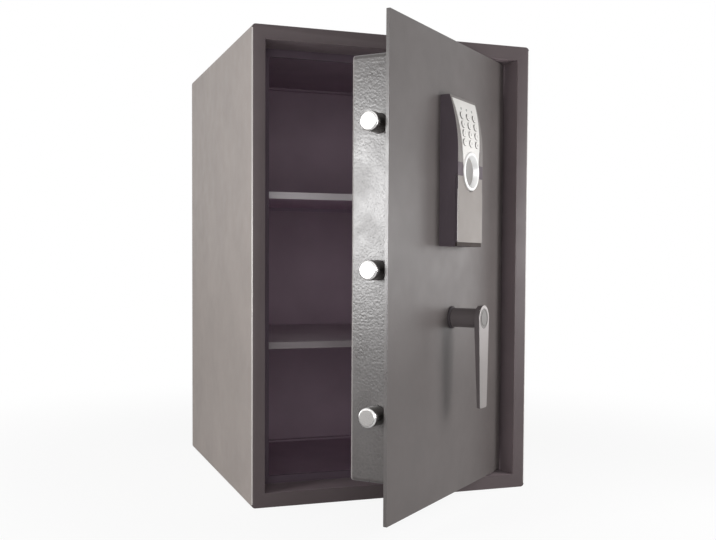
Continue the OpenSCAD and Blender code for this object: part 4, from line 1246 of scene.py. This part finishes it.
@dataclass
class KeypadUnit:
    """The keypad unit: housing, face plate, keys, finger ring and dish, battery bay and cover."""

    dresser: Dresser
    space: DoorSpace
    face: float = 23.4
    arc_z: float = 440.0
    arc_radius: float = 208.51
    plate_rise: float = 0.6
    key_proud: float = 1.3
    bottom_row_short: float = 0.95
    column: float = 18.9
    rows: tuple[float, ...] = (484.7, 474.0, 463.3, 452.6)
    signs: str = "123456789*0#"
    keys: tuple[str, ...] = (
        *(f"key_{number}" for number in range(1, 10)), "key_left", "key_0", "key_right",
    )
    dish_z: float = 419.0
    disc_sides: int = 96
    ring_outer: float = 23.5
    ring_root: float = 20.0
    ring_start: float = 0.4
    ring_crown: tuple[tuple[float, float], ...] = (
        (0.2, 0.5), (0.4, 0.4), (0.7, 0.25), (1.0, 0.05),
        (0.7, -0.05), (0.7, -0.2), (0.7, -0.4), (0.4, -0.4),
    )
    cup_radius: float = 17.6
    cup_slope: float = 22.0
    cup_depth: float = 4.5
    cup_over: float = 3.0
    dish_thick: float = 3.0
    dish_hollow: float = 1.5
    dish_play: float = 0.05
    dish_rings: int = 12
    lip_width: float = 1.8
    lip_thick: float = 1.0
    bore_over: float = 5.0
    cover_low: float = 333.0
    strip_low: float = 428.0
    front_from: float = 0.6
    key_side_to: float = 0.45
    cover_from: float = 0.3
    cover_edge_from: float = 0.1
    cover_edge_side: float = -0.25
    numeral: float = 5.2
    numeral_thick: float = 0.06
    numeral_curve: int = 3
    cell_count: int = 4
    cell_radius: float = 7.1
    cell_length: float = 49.3
    cell_sides: int = 48
    cell_pitch: float = 14.8
    cell_low: float = 335.0
    cell_out: float = 9.4
    cell_edge: float = 0.15
    cell_button: tuple[tuple[float, float], ...] = (
        (0.5, 0.25), (0.4, 0.0), (0.1, -0.25), (3.6, 0.0), (0.05, 1.1), (0.35, 0.1),
    )
    cell_base: tuple[tuple[float, float], ...] = ((0.6, 0.2), (0.3, -0.2))

    def build(self) -> None:
        """Dresses the unit and models its ring, dish, numerals and cells."""
        housing = self.dresser.dress("keypad_housing", Body.DOOR.value, Finishes.housing, 0.7)
        Bench.split(housing, self.strip_low)
        facing, low = self.space.facing(), self.strip_low * MM
        # painted light on the upper front faces of the housing
        paint(
            housing,
            Finishes.housing_front_painted_light,
            lambda c, n: n.dot(facing) > self.front_from and c.z > low,
        )
        self.dresser.dress_all(
            Body.DOOR,
            ("keypad_fascia", Finishes.silver, 0.25),
            ("keypad_board", Finishes.board),
            ("status_lights", Finishes.lens, 0.5, 3),
            ("unit_screws", Finishes.screw),
            ("battery_contacts", Finishes.contact),
        )
        self.battery_cover()
        for name in self.keys:
            key = self.dresser.dress(name, name, Finishes.key, edge=0.3, rounds=3, angle=50.0)
            if name in self.keys[-3:]:
                self.lengthen(key)
            # painted shade on the keys' side walls
            paint(key, Finishes.key_side_painted_shade, lambda c, n: n.dot(facing) < self.key_side_to)
        self.finger_ring()
        self.finger_dish()
        self.numerals()
        self.battery_cells()

    def lengthen(self, key: Piece) -> None:
        """Brings the front of a key of the bottom row to the rise of the other keys.

        Args:
            key: the key on the open door.
        """
        facing = self.space.facing()
        face = self.space.place((0.0, self.space.front - self.face, 0.0)).dot(facing)
        shift = [c * self.bottom_row_short for c in facing]
        Bench.slide(key, lambda p: p.dot(facing) > face, shift)

    def out(self, z: float) -> float:
        """How far the curved face stands out of the door at a height."""
        rise = max(z - self.arc_z, 0.0)
        return self.face - self.arc_radius + math.sqrt(self.arc_radius**2 - rise**2)

    def slope(self, z: float) -> float:
        """How far the curved face leans back at a height, in radians."""
        return math.asin(max(z - self.arc_z, 0.0) / self.arc_radius)

    def battery_cover(self) -> None:
        """The cover: its sides painted dark as painted shade, a satin front, its edge towards the
        free edge painted bright as a painted highlight, and its lower lip painted darker as
        painted shade.
        """
        facing, along = self.space.facing(), self.space.along()
        cover = self.dresser.dress(
            "battery_cover", Body.COVER.value, Finishes.cover_side_painted_shade, 0.6, 3
        )

        def on_highlight_edge(centre: Vector, normal: Vector) -> bool:
            """Tells the faces that turn from the front towards the door's free edge, which get a
            painted highlight.
            """
            front = normal.dot(facing) > self.cover_edge_from
            return front and normal.dot(along) < self.cover_edge_side

        paint(cover, Finishes.cover, lambda c, n: n.dot(facing) > self.cover_from)
        # painted highlight on the edge towards the free edge
        paint(cover, Finishes.cover_edge_highlight, on_highlight_edge)
        # painted shade on the lower lip
        paint(cover, Finishes.lip, lambda c, n: c.z < self.cover_low * MM)

    def disc(self, name: str, radius: float, deep: float, thick: float) -> Piece:
        """A disc on the axis of the finger dish.

        Args:
            name: the piece's name.
            radius: its radius.
            deep: how deep its front lies behind the face plate's front.
            thick: its thickness.

        Returns:
            The disc, modelled shut.
        """
        seat = self.space.front - self.face - self.plate_rise
        middle = (0.0, seat + deep + thick / 2, self.dish_z)
        return Bench.cylinder(name, middle, radius, thick, self.disc_sides)

    def finger_ring(self) -> None:
        """The plated ring: a rounded crown, and inside it a cup with a lip for the dish."""
        start = self.ring_start
        lip_deep = self.cup_depth + self.dish_thick
        ring = self.disc("finger_ring_made", self.ring_outer, -start, start)
        Bench.steps(ring, lambda c, n: n.y < -STRAIGHT, self.ring_crown)
        thick = lip_deep + self.lip_thick + start / 2
        root = self.disc("ring_root", self.ring_root, -start / 2, thick)
        Bench.combine(ring, root, "UNION")
        Bench.combine(ring, self.cup_bore(), "DIFFERENCE")
        radius = self.cup_radius - self.lip_width
        bore = self.disc("lip_bore", radius, 0.0, lip_deep + self.bore_over)
        Bench.combine(ring, bore, "DIFFERENCE")
        self.space.rounded(ring, Finishes.ring, "finger_ring")
        self.paint_cup_highlight(ring)

    def cup_bore(self) -> Piece:
        """The hollow of the cup: straight round the dish, and sloping from there to its mouth.

        Returns:
            The hollow as a solid, modelled shut.
        """
        bore = self.disc("cup_bore", self.cup_radius, self.cup_depth, self.dish_thick)
        reach = self.cup_depth + self.cup_over
        wide = 1 + reach * math.tan(math.radians(self.cup_slope)) / self.cup_radius
        Bench.pick(bore, lambda c, n: n.y < -STRAIGHT)
        bpy.ops.mesh.extrude_region_move(TRANSFORM_OT_translate={"value": (0, -reach * MM, 0)})
        bpy.ops.transform.resize(value=(wide, 1, wide), center_override=(0, 0, self.dish_z * MM))
        Bench.leave()
        return bore

    def paint_cup_highlight(self, ring: Piece) -> None:
        """Paints the sloping wall of the cup paler and more metallic than the ring, as a painted
        highlight.

        Args:
            ring: the ring on the open door.
        """
        facing = self.space.facing()
        middle = self.space.place((0.0, self.space.front - self.face, self.dish_z))

        def sloping(centre: Vector, normal: Vector) -> bool:
            """Tells the faces that look towards the cup's axis."""
            arm = centre - middle
            return normal.dot((arm - arm.dot(facing) * facing).normalized()) < -LEANING

        # painted highlight on the sloping wall
        paint(ring, Finishes.cup, sloping)

    def finger_dish(self) -> None:
        """The dish in the cup, stepped down from its rim along a shallow curve."""
        radius = self.cup_radius - self.dish_play
        dish = self.disc("finger_dish_made", radius, self.cup_depth, self.dish_thick)
        count = self.dish_rings
        radii = [radius * math.cos(math.pi / 2 * k / count) for k in range(count)]
        depths = [self.dish_hollow * (1 - (r / radius) ** 2) for r in radii]
        rings = [
            (radii[k] - radii[k + 1], -(depths[k + 1] - depths[k])) for k in range(count - 1)
        ]
        Bench.steps(dish, lambda c, n: n.y < -STRAIGHT, rings)
        self.space.rounded(dish, Finishes.dish, "finger_dish")

    def numerals(self) -> None:
        """A raised numeral on every key."""
        for index, (key, sign) in enumerate(zip(self.keys, self.signs, strict=True)):
            row, col = divmod(index, 3)
            z = self.rows[row]
            proud = self.out(z) + self.plate_rise + self.key_proud
            Bench.clear()
            bpy.ops.object.text_add()
            text = bpy.context.active_object
            text.data.body = sign
            text.data.size = self.numeral * MM
            text.data.align_x = text.data.align_y = "CENTER"
            text.data.extrude = self.numeral_thick * MM
            text.data.resolution_u = self.numeral_curve
            lean = Matrix.Rotation(math.pi / 2 - self.slope(z), 4, "X")
            place = Vector(((col - 1) * self.column * MM, (self.space.front - proud) * MM, z * MM))
            text.matrix_world = Matrix.Translation(place) @ lean
            Bench.take(text)
            bpy.ops.object.convert(target="MESH")
            made = Bench.settle(f"{key}_numeral")
            Bench.outward(made)
            self.space.hang(made, key)
            dress(made, Finishes.ink)

    def battery_cells(self) -> None:
        """Four cells with a shrunk jacket and a raised end, head to tail."""
        for index in range(self.cell_count):
            z = self.cell_low + (index + 0.5) * self.cell_pitch
            way = 1 if index % 2 == 0 else -1
            cell = Bench.cylinder(
                f"battery_cell_{index + 1}",
                (0, self.space.front - self.cell_out, z),
                self.cell_radius,
                self.cell_length,
                self.cell_sides,
                along_x=True,
            )
            Bench.steps(cell, lambda c, n, way=way: n.x * way > STRAIGHT, self.cell_button)
            Bench.steps(cell, lambda c, n, way=way: n.x * way < -STRAIGHT, self.cell_base)
            Bench.soften(cell, self.cell_edge, rounds=2, angle=60.0)
            stands = ("battery_cells",) if index == 0 else ()
            self.space.rounded(cell, Finishes.jacket, *stands)


@dataclass(frozen=True)
class Softbox:
    """One softbox: its place and the point that it faces, its width and height, and its watts."""

    name: str
    place: Point
    aim: Point
    width: float
    height: float
    power: float

    def hang(self) -> None:
        """Hangs the lamp."""
        light = bpy.data.lights.new(self.name, "AREA")
        light.shape = "RECTANGLE"
        light.size = self.width * MM
        light.size_y = self.height * MM
        light.energy = self.power
        lamp = bpy.data.objects.new(self.name, light)
        bpy.context.scene.collection.objects.link(lamp)
        lamp.location = [c * MM for c in self.place]
        lamp.rotation_mode = "QUATERNION"
        aim = Vector(self.aim) - Vector(self.place)
        lamp.rotation_quaternion = aim.to_track_quat("-Z", "Y")


@dataclass
class Studio:
    """The floor, the white surround, the lamps and the camera."""

    focal: float = 48.676
    sensor: float = 36.0
    eye: Point = (-470.55, -1380.97, 310.33)
    yaw: float = 19.6531
    pitch: float = 2.3296
    roll: float = 0.3061
    shift_y: float = 0.04184
    clip: tuple[float, float] = (0.05, 200.0)
    ambient: float = 0.26
    floor_size: float = 60.0
    floor_grey: Colour = (0.86, 0.86, 0.86)
    shadow_glow: float = 0.9
    shadow_from: float = 350.0
    shadow_to: float = 1100.0
    lamps: tuple[Softbox, ...] = (
        Softbox("left_softbox", (-1500.0, 350.0, 220.0), (-192.0, 0.0, 260.0), 800.0, 900.0, 9.3),
        Softbox(
            "edge_softbox", (-1300.0, -640.0, 437.0), (-110.0, -370.0, 370.0), 350.0, 390.0, 8.4
        ),
        Softbox("right_softbox", (850.0, -850.0, 350.0), (20.0, -300.0, 310.0), 500.0, 500.0, 2.2),
        Softbox("glow_softbox", (1350.0, 80.0, 335.0), (50.0, -300.0, 310.0), 500.0, 400.0, 1.4),
        Softbox("near_softbox", (450.0, -520.0, 320.0), (60.0, -260.0, 310.0), 250.0, 250.0, 1.3),
        Softbox("front_softbox", (-700.0, -2000.0, 450.0), (-50.0, 0.0, 300.0), 900.0, 900.0, 8.5),
    )

    def build(self) -> None:
        """Builds the studio."""
        self.surround()
        self.floor()
        for lamp in self.lamps:
            lamp.hang()
        self.camera()

    def surround(self) -> None:
        """A plain world that the camera and bright metal see as white."""
        world = bpy.data.worlds.new("surround")
        bpy.context.scene.world = world
        mixer = Mixer(world)
        soft, white = (
            mixer.node("Background", {"Color": WHITE, "Strength": strength})
            for strength in (self.ambient, 1.0)
        )
        rays = mixer.node("LightPath").outputs
        seen = mixer.math("MAXIMUM", rays["Is Camera Ray"], rays["Is Glossy Ray"])
        through = mixer.math("MAXIMUM", seen, rays["Is Transmission Ray"])
        mixer.node("OutputWorld", {"Surface": mixer.share(through, soft, white)})

    def floor(self) -> None:
        """A pale floor that reads as white to the camera and keeps the safe's soft shadow."""
        Bench.clear()
        bpy.ops.mesh.primitive_plane_add(size=self.floor_size, location=(0.0, 0.0, 0.0))
        floor = Bench.settle("studio_floor")
        material = bpy.data.materials.new("studio_floor")
        mixer = Mixer(material)
        matt = mixer.node("BsdfDiffuse", {"Color": self.floor_grey})
        glow = mixer.node("Emission", {"Strength": 1.0})
        reach = mixer.node("VectorMath", {0: mixer.coords}, operation="LENGTH").outputs["Value"]
        start, end = self.shadow_from * MM, self.shadow_to * MM
        smooth = {"interpolation_type": "SMOOTHSTEP"}
        fade = mixer.span(reach, self.shadow_glow, 1.0, start, end, **smooth)
        seen = mixer.node("LightPath").outputs["Is Camera Ray"]
        share = mixer.math("MULTIPLY", seen, fade)
        mixer.node("OutputMaterial", {"Surface": mixer.share(share, matt, glow)})
        floor.data.materials.append(material)

    def camera(self) -> None:
        """The camera, where the photograph was taken from."""
        data = bpy.data.cameras.new("photo_camera")
        data.sensor_width = self.sensor
        data.lens = self.focal
        data.shift_y = self.shift_y
        data.clip_start, data.clip_end = self.clip
        camera = bpy.data.objects.new("photo_camera", data)
        bpy.context.scene.collection.objects.link(camera)
        yaw, pitch, roll = (math.radians(a) for a in (self.yaw, self.pitch, self.roll))
        matrix = Matrix.Translation(Vector(self.eye) * MM)
        for angle, axis in ((-yaw, "Z"), (math.pi / 2 - pitch, "X"), (roll, "Z")):
            matrix = matrix @ Matrix.Rotation(angle, 4, axis)
        camera.matrix_world = matrix
        bpy.context.scene.camera = camera


def main() -> None:
    """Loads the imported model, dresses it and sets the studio."""
    logging.basicConfig(level=logging.INFO, format="%(name)s: %(message)s")
    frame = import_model()
    scene = bpy.context.scene
    scene.view_settings.view_transform = "Standard"
    dresser = Dresser(frame)
    space = DoorSpace()
    Cabinet(dresser).build()
    DoorLeaf(dresser, space).build()
    BoltWork(dresser, space).build()
    Handle(dresser, space).build()
    KeypadUnit(dresser, space).build()
    Studio().build()
    LOG.info("dressed %d nodes", dresser.count)


if __name__ == "__main__":
    main()
